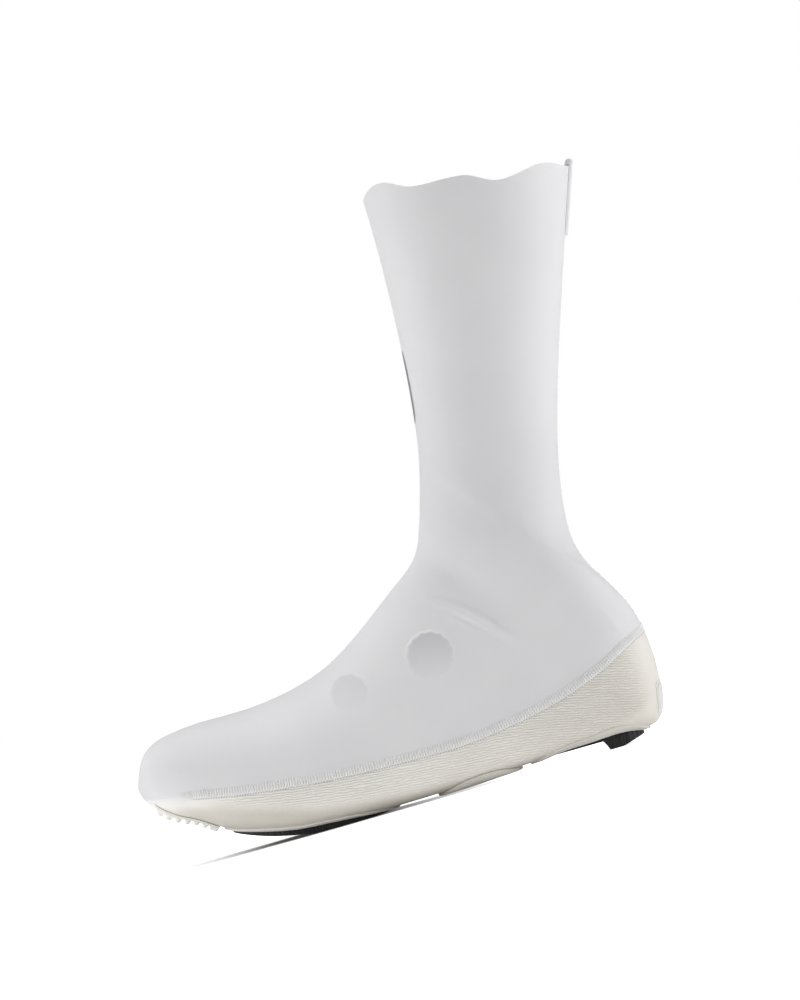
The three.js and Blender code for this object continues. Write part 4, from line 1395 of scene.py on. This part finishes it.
def camera():
    """Looks squarely at the outer side, rolled as in the picture that it follows."""
    roll, metres_a_pixel, pixels = math.radians(15.8), 0.00054, 1000
    view = bpy.data.cameras.new("camera")
    view.sensor_width = 36
    view.lens = 450
    view.dof.use_dof = False
    view.clip_end = 50
    away = metres_a_pixel * pixels / view.sensor_width * view.lens
    target = Vector((178.9 * MM, 0, 160.2 * MM)) + shift()
    right = Vector((math.cos(roll), 0, -math.sin(roll)))
    up, back = Vector((math.sin(roll), 0, math.cos(roll))), Vector((0, -1, 0))
    turned = Matrix((right, up, back)).transposed().to_4x4()
    camera = placed("camera", view)
    camera.matrix_world = Matrix.Translation(target + back * away) @ turned
    bpy.context.scene.camera = camera


def floor(colours):
    """A wide pale sheet that shines white to the camera, but for a dim spot round the ball: a painted shadow,
    where the glow fades out and the lamps' shadow shows.
    """
    bm = bmesh.new()
    bmesh.ops.create_grid(bm, x_segments=8, y_segments=8, size=9)
    mesh = bpy.data.meshes.new("floor")
    bm.to_mesh(mesh)
    bm.free()
    material, tree, shader = new_material("floor", 0.85)
    colour_between(tree, shader, colours.floor, (1, 1, 1), drifting(tree, 2, 400)[0])
    shadow_spot = Vector((90 * MM, 0, 0)) + shift()
    place = add(tree, "TexCoord").outputs["Object"]
    away = add(tree, "VectorMath", {0: place, 1: shadow_spot}, operation="DISTANCE").outputs["Value"]
    seen = Value(tree, add(tree, "LightPath").outputs["Is Camera Ray"]).between(0, 1, 0.15, 1)
    # Painted shadow: the glow fades out round the ball, so the lamps' shadow of the shoe shows there only.
    glow = Value(tree, away).between(0.03, 0.12) * seen
    feed(tree, shader, {"Emission Color": glow, "Emission Strength": 1})
    mesh.materials.append(material)
    floor = placed("floor", mesh)


def lights():
    """A world that is white to the camera and dim to the part, and five soft lamps."""
    scene = bpy.context.scene
    scene.view_settings.view_transform = "Standard"
    scene.view_settings.look = "None"
    scene.world = bpy.data.worlds.new("studio")
    scene.world.use_nodes = True
    tree = scene.world.node_tree
    seen = tree.nodes["Background"]
    feed(tree, seen, {"Color": (1, 1, 1, 1), "Strength": 1})
    fill = add(tree, "Background", {"Color": (0.97, 0.975, 1, 1), "Strength": 0.16})
    path = add(tree, "LightPath").outputs["Is Camera Ray"]
    choose = add(tree, "MixShader", {0: path, 1: fill.outputs[0], 2: seen.outputs[0]})
    feed(tree, tree.nodes["World Output"], {"Surface": choose.outputs[0]})
    for name, place, size, power in (
        ("toe side", (-1.5, 0.05, 0.5), 1.3, 8),
        ("heel side", (1.6, -0.2, 0.5), 1.3, 12.5),
        ("over", (0, 0.1, 1.9), 1.8, 24),
        ("low left", (-1.5, -0.8, 0.2), 0.4, 3.4),
        ("front", (0.3, -2.4, 0.35), 1.2, 3.6),
    ):
        lamp = bpy.data.lights.new(name, "AREA")
        lamp.shape = "DISK"
        lamp.size = size
        lamp.energy = power
        lit = placed(name, lamp)
        lit.location = place
        aim = Vector((0.03, 0, 0.15)) - Vector(place)
        lit.rotation_euler = aim.to_track_quat("-Z", "Y").to_euler()


class OVERSHOE_OT_stage(Piece, bpy.types.Operator):
    """Sets the camera, the pale floor and the soft studio lights"""

    bl_idname = "overshoe.stage"
    bl_label = "Stage"

    def build(self, sizes, colours):
        camera()
        floor(colours)
        lights()


class OVERSHOE_PT_panel(bpy.types.Panel):
    """Lists the pieces and the sizes they are built on"""

    bl_idname = "OVERSHOE_PT_panel"
    bl_label = "Rain overshoe"
    bl_space_type = "VIEW_3D"
    bl_region_type = "UI"
    bl_category = "Overshoe"

    def draw(self, context):
        for operator in OPERATORS:
            self.layout.operator(operator.bl_idname)
        scene = context.scene
        for group in (scene.overshoe_sizes, scene.overshoe_colours, scene.overshoe_detail):
            box = self.layout.box()
            for key in group.__annotations__:
                box.prop(group, key)


GROUPS = (OvershoeSizes, OvershoeColours, OvershoeDetail)
OPERATORS = (
    OVERSHOE_OT_stage, OVERSHOE_OT_upper, OVERSHOE_OT_rand, OVERSHOE_OT_seam, OVERSHOE_OT_hems,
    OVERSHOE_OT_treads, OVERSHOE_OT_toe_tread, OVERSHOE_OT_tab,
)


def register():
    for cls in (*GROUPS, *OPERATORS, OVERSHOE_PT_panel):
        bpy.utils.register_class(cls)
    bpy.types.Scene.overshoe_sizes = PointerProperty(type=OvershoeSizes)
    bpy.types.Scene.overshoe_colours = PointerProperty(type=OvershoeColours)
    bpy.types.Scene.overshoe_detail = PointerProperty(type=OvershoeDetail)


def unregister():
    del bpy.types.Scene.overshoe_detail
    del bpy.types.Scene.overshoe_colours
    del bpy.types.Scene.overshoe_sizes
    for cls in (OVERSHOE_PT_panel, *reversed(OPERATORS), *reversed(GROUPS)):
        bpy.utils.unregister_class(cls)


def main():
    register()
    bpy.ops.overshoe.stage()
    bpy.ops.overshoe.upper()
    bpy.ops.overshoe.rand()
    bpy.ops.overshoe.seam()
    bpy.ops.overshoe.hems()
    bpy.ops.overshoe.treads()
    bpy.ops.overshoe.toe_tread()
    bpy.ops.overshoe.tab()


if __name__ == "__main__":
    main()
